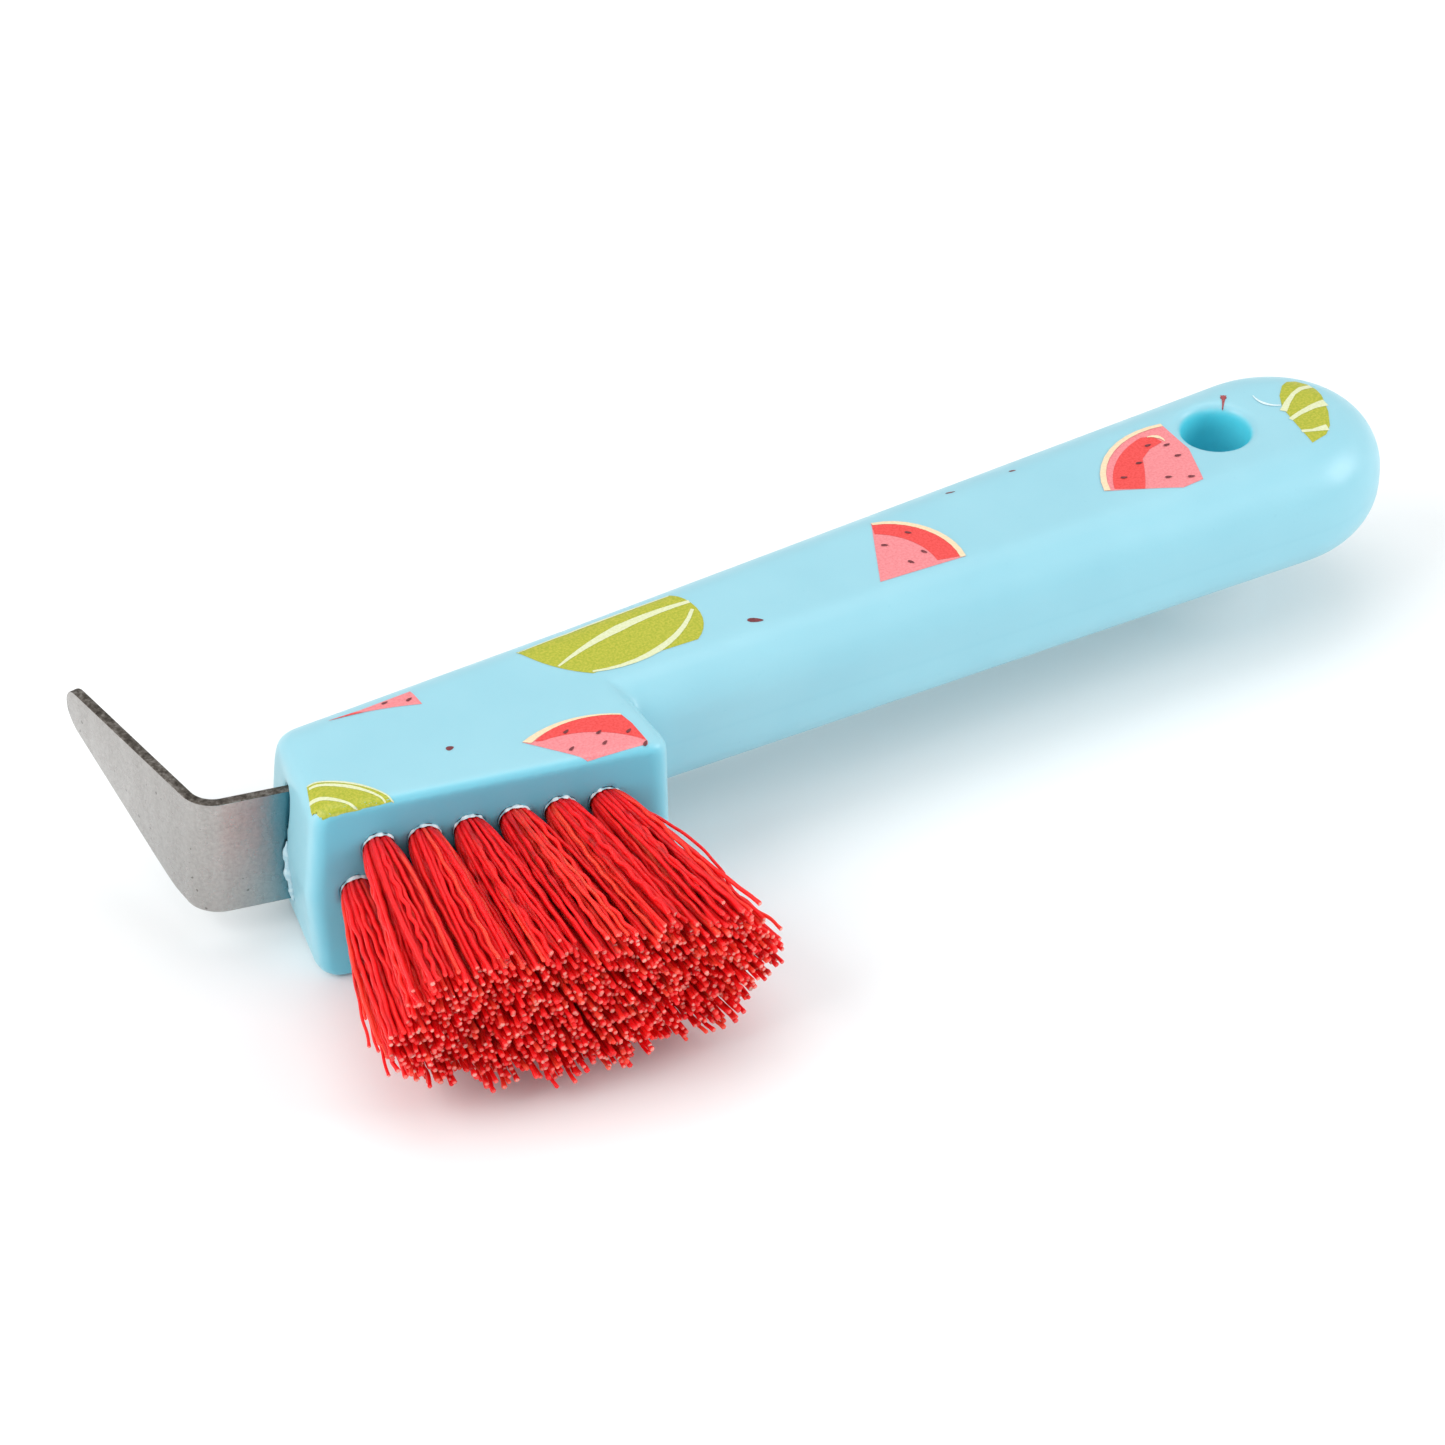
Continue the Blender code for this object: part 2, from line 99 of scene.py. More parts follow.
# steel pick
BLADE_THICKNESS = 1.3
BLADE_FACE_OFFSET = 11.0
BLADE_TOP = 8.5
BLADE_BOTTOM = -8.0
TANG_LENGTH = 22.0
TANG_HOLE_RADIUS = 2.6
TANG_HOLE_FROM_END = 7.0
BEND_START = 8.74
BEND_ANGLE = math.radians(71.4)
BEND_RADIUS = 3.8
HOOK_LENGTH = 25.6
HOOK_TAPER_START = 2.6
HOOK_TAPER_BLEND = 1.6  # length over which the lower edge turns into its taper
HOOK_TIP_WIDTH = 4.85
HOOK_TIP_ROUND = 2.1
TIP_SWEEP = math.radians(86.0)
REFLECTION_LENGTH = 8.0  # painted reflection: length of steel outside the block that is tinted blue, standing in for the blue block reflected in it

# finish of the visual model
ARC_STEPS = 16
EDGE_SLOPE = 0.55  # faces of the strip that look up or down more than this are sheared edge
ROUND_SIDES = 40
REMESH_SIZE = 0.46
PRINT_GRID = 0.25  # spacing of the print's points, so that it follows the rounded edges
PRINT_LIFT = 0.025  # thickness of one layer of ink
PRINT_DROP = 0.45  # how far down a sharp edge the print reaches
PRINT_SLOPE = 0.5  # where the surface is steeper, the print takes the nearest point at that drop
BURR_STEPS = 64
BURR_WAVES = 6
BURR_HEIGHT = 0.42
BURR_WIDTH = 0.28
FLASH_STEPS = 26
FLASH_SIDES = 10
FLASH_TOP = 1.2
STRANDS_PER_TUFT = 84
STRAND_RADIUS = 0.27
STRAND_SIDES = 6
STRAND_STEPS = 44
STRAND_START = -4.5  # how far inside the block a strand begins
TUFT_SPREAD = 3.95  # radius of a tuft at its tips
OPENING_POWER = 0.52  # below 1 a tuft opens quickly beyond its hole
TRIM_BOW = 1.6
TRIM_SCATTER = (-1.7, 0.6)
TIP_SCATTER = 0.35
CRIMP_LENGTH = (3.6, 6.0)
CRIMP_SIZE = (0.04, 0.19)
DRIFT_SIZE = 0.45  # slow wander of a strand from its straight line
END_LENGTH = 0.12  # the cut end of a strand, which swells a little and then closes in
END_SWELL = 1.18
# strands that stand away: place along the face, height, length, lean in degrees, drop at the tip, bow
STRAYS = ((3.0, 0.2, 23.8, -21.5, 2.5, -0.6), (3.4, -0.9, 27.0, -18.5, 3.4, -0.5),
          (2.9, -0.4, 20.0, -21.0, 1.0, -0.6), (3.1, 0.9, 26.0, -20.0, 2.2, -0.6),
          (36.4, 6.4, 26.5, 4.5, 0.8, 3.0), (36.6, 5.6, 27.5, 4.0, 1.2, 2.3),
          (36.5, 6.0, 25.0, 7.0, 0.4, 1.5), (36.2, 7.0, 27.0, 3.0, 0.0, 1.8),
          (36.6, 5.0, 26.0, 8.0, 1.6, 0.8))

QUARTER_TURN = [math.pi / 2 * step / ARC_STEPS for step in range(ARC_STEPS + 1)]
FACE_U = Vector((math.cos(FACE_ANGLE), -math.sin(FACE_ANGLE), 0.0))
FACE_V = Vector((math.sin(FACE_ANGLE), math.cos(FACE_ANGLE), 0.0))
UP = Vector((0.0, 0.0, 1.0))


def face_point(u, v, z):
    """Point from its place along the bristle face, its depth into the block and its height."""
    return FACE_U * u + FACE_V * v + UP * z


def frame_origin():
    """Where the pick's own zero lies in the frame, from the place of the first anchor of the middle row."""
    low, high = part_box("anchor_r2_1")
    start = OUTER_ROW_START - TUFT_PITCH / 2
    return (low + high) / 2 - face_point(start, ANCHOR_SET_BACK, ROW_HEIGHTS[1]) * MM


ORIGIN = frame_origin()


def placed(point):
    return ORIGIN + Vector(point) * MM


# ---- materials ----

class Nodes:
    """Short names for building a Principled material from nodes."""

    def __init__(self, name):
        self.material = bpy.data.materials.new(name)
        self.material.use_nodes = True
        self.tree = self.material.node_tree
        self.shader = self.tree.nodes["Principled BSDF"]
        self.place = self.add("ShaderNodeTexCoord").outputs["Object"]

    def add(self, kind, **settings):
        node = self.tree.nodes.new(kind)
        for key, value in settings.items():
            setattr(node, key, value)
        return node

    def link(self, output, target):
        self.tree.links.new(output, target)

    def noise(self, scale, detail=3.0, stretch=(1.0, 1.0, 1.0), roughness=0.5):
        mapping = self.add("ShaderNodeMapping")
        mapping.inputs["Scale"].default_value = stretch
        self.link(self.place, mapping.inputs["Vector"])
        node = self.add("ShaderNodeTexNoise")
        node.inputs["Scale"].default_value = scale
        node.inputs["Detail"].default_value = detail
        node.inputs["Roughness"].default_value = roughness
        self.link(mapping.outputs["Vector"], node.inputs["Vector"])
        return node.outputs["Fac"]

    def ramp(self, value, stops):
        """Colour ramp from (position, colour) stops; a plain number stands for a grey."""
        node = self.add("ShaderNodeValToRGB")
        ramp = node.color_ramp
        while len(ramp.elements) < len(stops):
            ramp.elements.new(0.5)
        for element, (position, colour) in zip(ramp.elements, stops):
            element.position = position
            element.color = (*(colour if isinstance(colour, tuple) else (colour,) * 3), 1.0)
        self.link(value, node.inputs["Fac"])
        return node.outputs["Color"]

    def mix(self, share, first, second):
        """Colour mix; share and each colour may be a socket or a plain value."""
        node = self.add("ShaderNodeMix", data_type="RGBA", blend_type="MIX")
        if isinstance(share, bpy.types.NodeSocket):
            self.link(share, node.inputs[0])
        else:
            node.inputs[0].default_value = share
        for socket, value in ((node.inputs[6], first), (node.inputs[7], second)):
            if isinstance(value, bpy.types.NodeSocket):
                self.link(value, socket)
            else:
                socket.default_value = (*value, 1.0)
        return node.outputs[2]

    def attribute(self, name):
        return self.add("ShaderNodeAttribute", attribute_name=name).outputs["Fac"]

    def bump(self, height, strength, distance):
        node = self.add("ShaderNodeBump")
        node.inputs["Strength"].default_value = strength
        node.inputs["Distance"].default_value = distance
        self.link(height, node.inputs["Height"])
        self.link(node.outputs["Normal"], self.shader.inputs["Normal"])

    def set(self, **values):
        """Constant values straight on the shader's sockets; an underscore stands for a space."""
        for key, value in values.items():
            self.shader.inputs[key.replace("_", " ")].default_value = value

    def colour(self, output):
        self.link(output, self.shader.inputs["Base Color"])

    def roughness(self, value, low, high):
        self.link(self.ramp(value, [(0.35, low), (0.65, high)]), self.shader.inputs["Roughness"])


def plastic_material():
    """Moulded light-blue plastic: faint cloudiness, a fine texture and a parting line on the side, with
    painted shade on the bristle face and painted light as a brighter, deeper cyan inside the hang hole.
    """
    nodes = Nodes("moulded_blue")
    cloud = nodes.noise(70.0, 3.0)
    base = nodes.ramp(cloud, [(0.30, (0.288, 0.572, 0.665)), (0.70, (0.312, 0.600, 0.690))])
    speck = nodes.ramp(nodes.noise(1500.0, 2.0), [(0.70, 0.0), (0.78, 0.12)])
    base = nodes.mix(speck, base, (0.16, 0.42, 0.54))
    # painted shade: the bristle face is coloured a deeper blue, standing in for the shade under the bristles
    base = nodes.mix(nodes.attribute("painted_shade_bristle_face"), base, (0.150, 0.560, 0.700))
    seam = nodes.attribute("parting_line")
    base = nodes.mix(nodes.mix(0.10, (0.0, 0.0, 0.0), seam), base, (0.12, 0.40, 0.53))
    # painted light: a brighter, deeper cyan inside the hang hole, standing in for light passing through the
    # plastic
    nodes.colour(nodes.mix(nodes.attribute("bore"), base, (0.0, 0.720, 0.860)))
    nodes.roughness(nodes.noise(260.0, 4.0), 0.30, 0.40)
    grain = nodes.noise(1800.0, 2.0)
    nodes.bump(nodes.mix(0.5, grain, seam), 0.25, 0.00006)
    nodes.set(Subsurface_Weight=0.18, Subsurface_Scale=0.0015, Subsurface_Radius=(0.6, 1.0, 1.0), IOR=1.49)
    return nodes.material


def flash_material():
    """Thin torn plastic round the drilled holes and the blade's slot, paler where its pale share is high: a
    painted highlight along the upper side of the holes' lips, a random paler tone on the slot's sliver.
    """
    nodes = Nodes("torn_blue")
    pale_colour = nodes.ramp(nodes.noise(1600.0, 3.0), [(0.40, (0.55, 0.68, 0.74)), (0.60, (0.88, 0.92, 0.93))])
    # painted highlight on the holes' lips, a random paler tone on the slot's sliver
    nodes.colour(nodes.mix(nodes.attribute("pale_and_highlight"), (0.22, 0.50, 0.60), pale_colour))
    nodes.roughness(nodes.noise(900.0, 2.0), 0.35, 0.55)
    nodes.bump(nodes.noise(2600.0, 3.0), 0.5, 0.00008)
    return nodes.material


def steel_material():
    """Tumbled sheet steel: fine mottling, faint streaks down the sheet, a few dark pits and a painted
    reflection of the blue block near it.
    """
    nodes = Nodes("tumbled_steel")
    grain = nodes.noise(2200.0, 4.0, roughness=0.7)
    base = nodes.ramp(grain, [(0.30, (0.345, 0.328, 0.315)), (0.70, (0.470, 0.452, 0.436))])
    streak = nodes.ramp(nodes.noise(420.0, 3.0, stretch=(1.0, 1.0, 0.12)), [(0.40, 0.0), (0.70, 0.25)])
    base = nodes.mix(streak, base, (0.56, 0.545, 0.53))
    pit = nodes.ramp(nodes.noise(1100.0, 1.0), [(0.735, 0.0), (0.765, 0.75)])
    base = nodes.mix(pit, base, (0.12, 0.11, 0.10))
    # painted reflection: the steel turns blue-grey near the block, standing in for the block reflected in it
    nodes.colour(nodes.mix(nodes.attribute("painted_block_reflection"), base, (0.055, 0.215, 0.265)))
    nodes.roughness(nodes.noise(700.0, 4.0), 0.17, 0.30)
    nodes.bump(nodes.noise(1500.0, 4.0), 0.35, 0.00005)
    nodes.set(Metallic=1.0)
    return nodes.material


def sheared_edge_material():
    """The strip's cut edge: darker, with bands left by the shear."""
    nodes = Nodes("sheared_steel")
    band = nodes.noise(1300.0, 4.0, stretch=(1.0, 1.0, 0.3), roughness=0.7)
    nodes.colour(nodes.ramp(band, [(0.34, (0.050, 0.042, 0.036)), (0.52, (0.13, 0.115, 0.100)),
                                     (0.70, (0.30, 0.280, 0.260))]))
    nodes.roughness(nodes.noise(900.0, 3.0), 0.40, 0.62)
    nodes.bump(band, 0.6, 0.00008)
    nodes.set(Metallic=1.0)
    return nodes.material


def nylon_material():
    """Dyed nylon: each strand its own red, some cut ends pale, a satin gloss."""
    nodes = Nodes("crimped_nylon")
    shade = nodes.attribute("strand_shade")
    strand = nodes.ramp(shade, [(0.0, (0.84, 0.005, 0.009)), (0.50, (0.92, 0.008, 0.012)),
                                (0.80, (0.95, 0.016, 0.014)), (1.0, (0.96, 0.070, 0.034))])
    mottle = nodes.noise(900.0, 2.0)
    strand = nodes.mix(nodes.ramp(mottle, [(0.50, 0.0), (0.80, 0.30)]), strand, (0.93, 0.055, 0.030))
    nodes.colour(nodes.mix(nodes.attribute("strand_cut"), strand, (0.92, 0.36, 0.30)))
    nodes.roughness(nodes.noise(1200.0, 2.0), 0.34, 0.50)
    nodes.bump(nodes.noise(2400.0, 2.0), 0.3, 0.00004)
    nodes.set(Subsurface_Weight=0.55, Subsurface_Scale=0.0012, Subsurface_Radius=(1.0, 0.12, 0.1), IOR=1.53,
              Specular_IOR_Level=0.32)
    return nodes.material


def brass_material():
    """Drawn flat wire: streaks along its length and slight tarnish."""
    nodes = Nodes("drawn_brass")
    streak = nodes.noise(1500.0, 3.0, stretch=(1.0, 1.0, 0.1))
    tarnish = nodes.noise(600.0, 3.0)
    base = nodes.ramp(streak, [(0.3, (0.62, 0.46, 0.20)), (0.7, (0.80, 0.64, 0.32))])
    nodes.colour(nodes.mix(nodes.ramp(tarnish, [(0.5, 0.0), (0.8, 0.5)]), base, (0.30, 0.20, 0.10)))
    nodes.roughness(tarnish, 0.25, 0.50)
    nodes.bump(streak, 0.3, 0.00004)
    nodes.set(Metallic=1.0)
    return nodes.material


def ink_material(name, dark, light):
    """Screen-printed ink with a fine grain between two tones, as glossy as the plastic under it."""
    nodes = Nodes(name)
    nodes.colour(nodes.ramp(nodes.noise(3200.0, 2.0, roughness=0.6), [(0.36, dark), (0.64, light)]))
    nodes.roughness(nodes.noise(260.0, 4.0), 0.32, 0.42)
    nodes.bump(nodes.noise(1800.0, 2.0), 0.25, 0.00004)
    return nodes.material


def floor_material():
    nodes = Nodes("white_sweep")
    nodes.colour(nodes.ramp(nodes.noise(3.0, 2.0), [(0.3, (0.90, 0.90, 0.90)), (0.7, (0.92, 0.92, 0.92))]))
    nodes.set(Roughness=1.0, Specular_IOR_Level=0.0)
    return nodes.material


# ---- mesh helpers ----

def new_object(name, data):
    item = bpy.data.objects.new(name, data)
    bpy.context.scene.collection.objects.link(item)
    return item


def object_from_bmesh(name, bm, materials=(), smooth_angle=35.0):
    bmesh.ops.recalc_face_normals(bm, faces=bm.faces)
    mesh = bpy.data.meshes.new(name)
    bm.to_mesh(mesh)
    bm.free()
    mesh.shade_smooth()
    mesh.set_sharp_from_angle(angle=math.radians(smooth_angle))
    for material in materials:
        mesh.materials.append(material)
    return new_object(name, mesh)


def add_boolean(item, cutter, operation):
    modifier = item.modifiers.new(operation.lower(), "BOOLEAN")
    modifier.operation = operation
    modifier.solver = "EXACT"
    modifier.object = cutter


def apply_modifiers(item, helpers=()):
    """Turn the modifiers into the object's own mesh and remove the objects they used."""
    depsgraph = bpy.context.evaluated_depsgraph_get()
    made = bpy.data.meshes.new_from_object(item.evaluated_get(depsgraph))
    item.modifiers.clear()
    item.data = made
    for helper in helpers:
        bpy.data.objects.remove(helper, do_unlink=True)


def loft_rings(bm, rings):
    """Join equal rings of points into a closed body and return its two flat end caps."""
    loops = [[bm.verts.new(placed(point)) for point in ring] for ring in rings]
    count = len(loops[0])
    for lower, upper in zip(loops, loops[1:]):
        for i in range(count):
            j = (i + 1) % count
            bm.faces.new((lower[i], lower[j], upper[j], upper[i]))
    return [bm.faces.new(list(reversed(loops[0]))), bm.faces.new(loops[-1])]


def face_matrix(u, v, z):
    """Placement whose local X, Y and Z follow the face's u, v and up directions."""
    rotation = Matrix((FACE_U, FACE_V, UP)).transposed().to_4x4()
    return Matrix.Translation(placed(face_point(u, v, z))) @ rotation


def add_cylinder(bm, matrix, radius, start, end):
    """Round bar along the matrix's Y axis from start to end, in millimetres."""
    turn = Matrix.Rotation(-math.pi / 2, 4, "X")
    shift = Matrix.Translation(Vector((0.0, (start + end) / 2, 0.0)) * MM)
    bmesh.ops.create_cone(bm, cap_ends=True, segments=ROUND_SIDES, radius1=radius * MM, radius2=radius * MM,
                          depth=(end - start) * MM, matrix=matrix @ shift @ turn)


def add_box(bm, matrix, size):
    bmesh.ops.create_cube(bm, size=1.0, matrix=matrix @ Matrix.Diagonal((*(Vector(size) * MM), 1.0)))


def add_tang_hole(bm, radius):
    """Bar across the strip at the tang's hole, as the hole's cutter or as the plug of plastic in it."""
    middle = (BLADE_TOP + BLADE_BOTTOM) / 2
    add_cylinder(bm, face_matrix(TANG_LENGTH - TANG_HOLE_FROM_END, BLADE_FACE_OFFSET, middle), radius,
                 -CUTTER_REACH, CUTTER_REACH)


def vertex_places(mesh):
    """The mesh's points in the pick's own axes, in millimetres."""
    places = np.empty(len(mesh.vertices) * 3, dtype=np.float32)
    mesh.vertices.foreach_get("co", places)
    return (places.reshape(-1, 3) - np.array(ORIGIN)) / MM


def set_attribute(mesh, name, values):
    attribute = mesh.attributes.new(name, "FLOAT", "POINT")
    attribute.data.foreach_set("value", np.asarray(values, dtype=np.float32))


# ---- handle ----

def line_intersection(a, direction_a, b, direction_b):
    cross = direction_a.x * direction_b.y - direction_a.y * direction_b.x
    offset = b - a
    distance = (offset.x * direction_b.y - offset.y * direction_b.x) / cross
    return a + direction_a * distance


def inset_polygon(corners, insets):
    """Move each side inwards by its own inset; side i runs from corner i to corner i + 1."""
    sides = []
    for i, corner in enumerate(corners):
        along = (corners[(i + 1) % len(corners)] - corner).normalized()
        inward = Vector((-along.y, along.x))
        sides.append((corner + inward * insets[i], along))
    return [line_intersection(*sides[i - 1], *sides[i]) for i in range(len(sides))]


def round_corners(corners, radii, steps):
    points = []
    for i, corner in enumerate(corners):
        before = (corners[i - 1] - corner).normalized()
        after = (corners[(i + 1) % len(corners)] - corner).normalized()
        half = before.angle(after) / 2
        centre = corner + (before + after).normalized() * (radii[i] / math.sin(half))
        start = corner + before * (radii[i] / math.tan(half)) - centre
        end = corner + after * (radii[i] / math.tan(half)) - centre
        sweep = start.angle_signed(end)
        for step in range(steps + 1):
            turned = start.copy()
            turned.rotate(Matrix.Rotation(-sweep * step / steps, 2))
            points.append(centre + turned)
    return points


def edge_inset(radius, from_top):
    """Horizontal inset of a rounded edge at a given distance below its flat."""
    if from_top >= radius:
        return 0.0
    return radius - math.sqrt(radius ** 2 - (radius - from_top) ** 2)


def grip_share(x):
    """0 at the grip's neck, 1 where its rounded end begins."""
    return (x - GRIP_NECK_X) / (GRIP_END_X - GRIP_NECK_X)


def grip_half_width(x):
    return GRIP_NECK_HALF_WIDTH + (GRIP_END_HALF_WIDTH - GRIP_NECK_HALF_WIDTH) * grip_share(x)


def grip_rounding(x):
    return GRIP_ROUND_NECK + (GRIP_ROUND_END - GRIP_ROUND_NECK) * min(max(grip_share(x), 0.0), 1.0)


def block_corners():
    front_left = FACE_U.to_2d() * FACE_START
    front_right = FACE_U.to_2d() * FACE_END
    back_right = Vector((front_right.x, GRIP_AXIS_Y + grip_half_width(front_right.x)))
    back_left = front_left + FACE_V.to_2d() * BLOCK_LEFT_DEPTH
    return [front_left, front_right, back_right, back_left]


def block_ring(z):
    half = BLOCK_THICKNESS / 2
    from_top = half - abs(z)
    swell = from_top / half
    insets = [edge_inset(EDGE_ROUND["front"], from_top),
              edge_inset(EDGE_ROUND["right"], from_top) - RIGHT_DRAFT * swell,
              edge_inset(EDGE_ROUND["back"], from_top),
              edge_inset(EDGE_ROUND["left"], from_top) - LEFT_DRAFT * swell]
    shrink = 1.0 - CORNER_SHRINK * insets[2] / EDGE_ROUND["back"]
    radii = [CORNER_ROUND["front_left"], CORNER_ROUND["front_right"],
             CORNER_ROUND["back_right"], CORNER_ROUND["back_left"] * shrink]
    return [(point.x, point.y, z)
            for point in round_corners(inset_polygon(block_corners(), insets), radii, ARC_STEPS)]


def block_form():
    half = BLOCK_THICKNESS / 2
    depths = {half, 0.0}
    for radius in EDGE_ROUND.values():
        for step in range(ARC_STEPS):
            depths.add(round(radius * (1.0 - math.sin(math.pi / 2 * step / ARC_STEPS)), 3))
    levels = []
    for depth in sorted(depths):
        if not levels or depth - levels[-1] > LEVEL_STEP:
            levels.append(depth)
    heights = sorted({sign * (half - depth) for depth in levels for sign in (-1, 1)})
    bm = bmesh.new()
    loft_rings(bm, [block_ring(z) for z in heights])
    return object_from_bmesh("block_form", bm)


def grip_outline():
    """Plan outline as (point, outward normal, rounding radius), from the root's front corner onwards."""
    tilt = math.atan2(GRIP_END_HALF_WIDTH - GRIP_NECK_HALF_WIDTH, GRIP_END_X - GRIP_NECK_X)
    side = [(GRIP_ROOT_X, grip_half_width(GRIP_ROOT_X) - GRIP_ROOT_TUCK)]
    for step in range(GRIP_SIDE_STEPS):
        x = GRIP_NECK_X + (GRIP_END_X - GRIP_NECK_X) * step / GRIP_SIDE_STEPS
        side.append((x, grip_half_width(x)))

    def side_points(sign, places):
        normal = Vector((-math.sin(tilt), sign * math.cos(tilt)))
        return [(Vector((x, GRIP_AXIS_Y + sign * width)), normal, grip_rounding(x)) for x, width in places]

    points = side_points(-1, side)
    lead = math.atan(math.tan(tilt) * GRIP_END_LENGTH / GRIP_END_HALF_WIDTH)
    arc_steps = 4 * ARC_STEPS
    for step in range(arc_steps + 1):
        angle = -math.pi / 2 - lead + (math.pi + 2 * lead) * step / arc_steps
        point = Vector((GRIP_END_X + GRIP_END_LENGTH * math.cos(angle),
                        GRIP_AXIS_Y + GRIP_END_HALF_WIDTH * math.sin(angle)))
        normal = Vector((math.cos(angle) * GRIP_END_HALF_WIDTH, math.sin(angle) * GRIP_END_LENGTH))
        points.append((point, normal.normalized(), GRIP_ROUND_END))
    return points + side_points(1, side[::-1])


def grip_form():
    half = GRIP_THICKNESS / 2
    middle = BLOCK_THICKNESS / 2 - half
    turns = [(-1, angle) for angle in reversed(QUARTER_TURN)] + [(1, angle) for angle in QUARTER_TURN]
    rings = []
    for side, angle in turns:
        ring = []
        for point, normal, radius in grip_outline():
            flat = point - normal * radius * (1.0 - math.cos(angle))
            ring.append((flat.x, flat.y, middle + side * (half - radius + radius * math.sin(angle))))
        rings.append(ring)
    bm = bmesh.new()
    loft_rings(bm, rings)
    return object_from_bmesh("grip_form", bm)


def hang_hole_cutter():
    """Turned bore with a rounded lip at both faces, as stacked rings."""
    top = BLOCK_THICKNESS / 2
    bottom = top - GRIP_THICKNESS
    lip = HANG_HOLE_LIP
    outer = HANG_HOLE_RADIUS + lip
    profile = [(outer, bottom - CUTTER_REACH)]
    profile += [(outer - lip * math.sin(a), bottom + lip * (1 - math.cos(a))) for a in QUARTER_TURN]
    profile += [(outer - lip * math.cos(a), top - lip * (1 - math.sin(a))) for a in QUARTER_TURN]
    profile += [(outer, top + CUTTER_REACH)]
    turns = [math.pi / 2 * step / ARC_STEPS for step in range(4 * ARC_STEPS)]
    bm = bmesh.new()
    loft_rings(bm, [[(HANG_HOLE_X + r * math.cos(a), HANG_HOLE_Y + r * math.sin(a), z) for a in turns]
                    for r, z in profile])
    return object_from_bmesh("hang_hole_cutter", bm)


def tuft_places():
    """Name, position along the face and height of every tuft."""
    for row, (height, count) in enumerate(zip(ROW_HEIGHTS, ROW_COUNTS), start=1):
        start = OUTER_ROW_START - (count - ROW_COUNTS[0]) * TUFT_PITCH / 2
        for i in range(count):
            yield f"r{row}_{i + 1}", start + i * TUFT_PITCH, height


def small_cutters():
    """Tuft holes and anchor slots."""
    holes = bmesh.new()
    slots = bmesh.new()
    slot_size = [size + 2 * GAP for size in ANCHOR_SIZE]
    for _, u, z in tuft_places():
        add_cylinder(holes, face_matrix(u, 0, z), TUFT_HOLE_RADIUS, -CUTTER_REACH, TUFT_HOLE_DEPTH)
        add_box(slots, face_matrix(u, ANCHOR_SET_BACK, z), slot_size)
    return [object_from_bmesh("tuft_holes_cutter", holes), object_from_bmesh("anchor_slots_cutter", slots)]


def tang_slot_cutter():
    """Slot round the tang, without the plug of plastic that stands through the tang's hole."""
    length = TANG_LENGTH + BEND_START
    width = BLADE_TOP - BLADE_BOTTOM
    middle = (BLADE_TOP + BLADE_BOTTOM) / 2
    bm = bmesh.new()
    add_box(bm, face_matrix(TANG_LENGTH + GAP - length / 2, BLADE_FACE_OFFSET, middle),
            (length, BLADE_THICKNESS + 2 * GAP, width + 2 * GAP))
    slot = object_from_bmesh("tang_slot_cutter", bm)
    bm = bmesh.new()
    add_tang_hole(bm, TANG_HOLE_RADIUS - GAP)
    plug = object_from_bmesh("tang_plug_form", bm)
    add_boolean(slot, plug, "DIFFERENCE")
    apply_modifiers(slot, [plug])
    return slot


def mark_handle(mesh):
    """Where the colour deepens: painted light in the hang hole and painted shade on the bristle face; and the
    mould's parting line.
    """
    places = vertex_places(mesh)
    # painted light in the hang hole
    reach = np.hypot(places[:, 0] - HANG_HOLE_X, places[:, 1] - HANG_HOLE_Y)
    set_attribute(mesh, "bore", np.clip((BORE_GLOW_RADIUS - reach) / BORE_GLOW_FADE, 0.0, 1.0))
    # painted shade on the bristle face, up to the neck
    depth = places @ np.array(FACE_V)
    face_shade_share = np.clip((FACE_SHADE_DEPTH - depth) / FACE_SHADE_DEPTH, 0.0, 1.0)
    set_attribute(mesh, "painted_shade_bristle_face", face_shade_share * (places[:, 0] < GRIP_NECK_X + 0.5))
    seam = 1.0 - np.abs(places[:, 2] - PARTING_HEIGHT) / PARTING_WIDTH
    set_attribute(mesh, "parting_line", np.clip(seam, 0.0, 1.0) * (places[:, 0] > GRIP_NECK_X))


def make_handle(material):
    """Block and grip in one moulding, remeshed finely so that every edge is softly rounded."""
    handle = block_form()
    handle.name = "handle_moulding"
    grip = grip_form()
    cutters = [hang_hole_cutter(), *small_cutters(), tang_slot_cutter()]
    add_boolean(handle, grip, "UNION")
    for cutter in cutters:
        add_boolean(handle, cutter, "DIFFERENCE")
    remesh = handle.modifiers.new("remesh", "REMESH")
    remesh.mode = "VOXEL"
    remesh.voxel_size = REMESH_SIZE * MM
    remesh.use_smooth_shade = True
    soften = handle.modifiers.new("soften", "SMOOTH")
    soften.factor = 0.5
    soften.iterations = 4
    apply_modifiers(handle, [grip, *cutters])
    handle.data.materials.clear()
    handle.data.materials.append(material)
    handle.data.shade_smooth()
    mark_handle(handle.data)
    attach(handle, "root")
    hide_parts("handle")
    return handle


# ---- torn plastic round the drilled holes ----

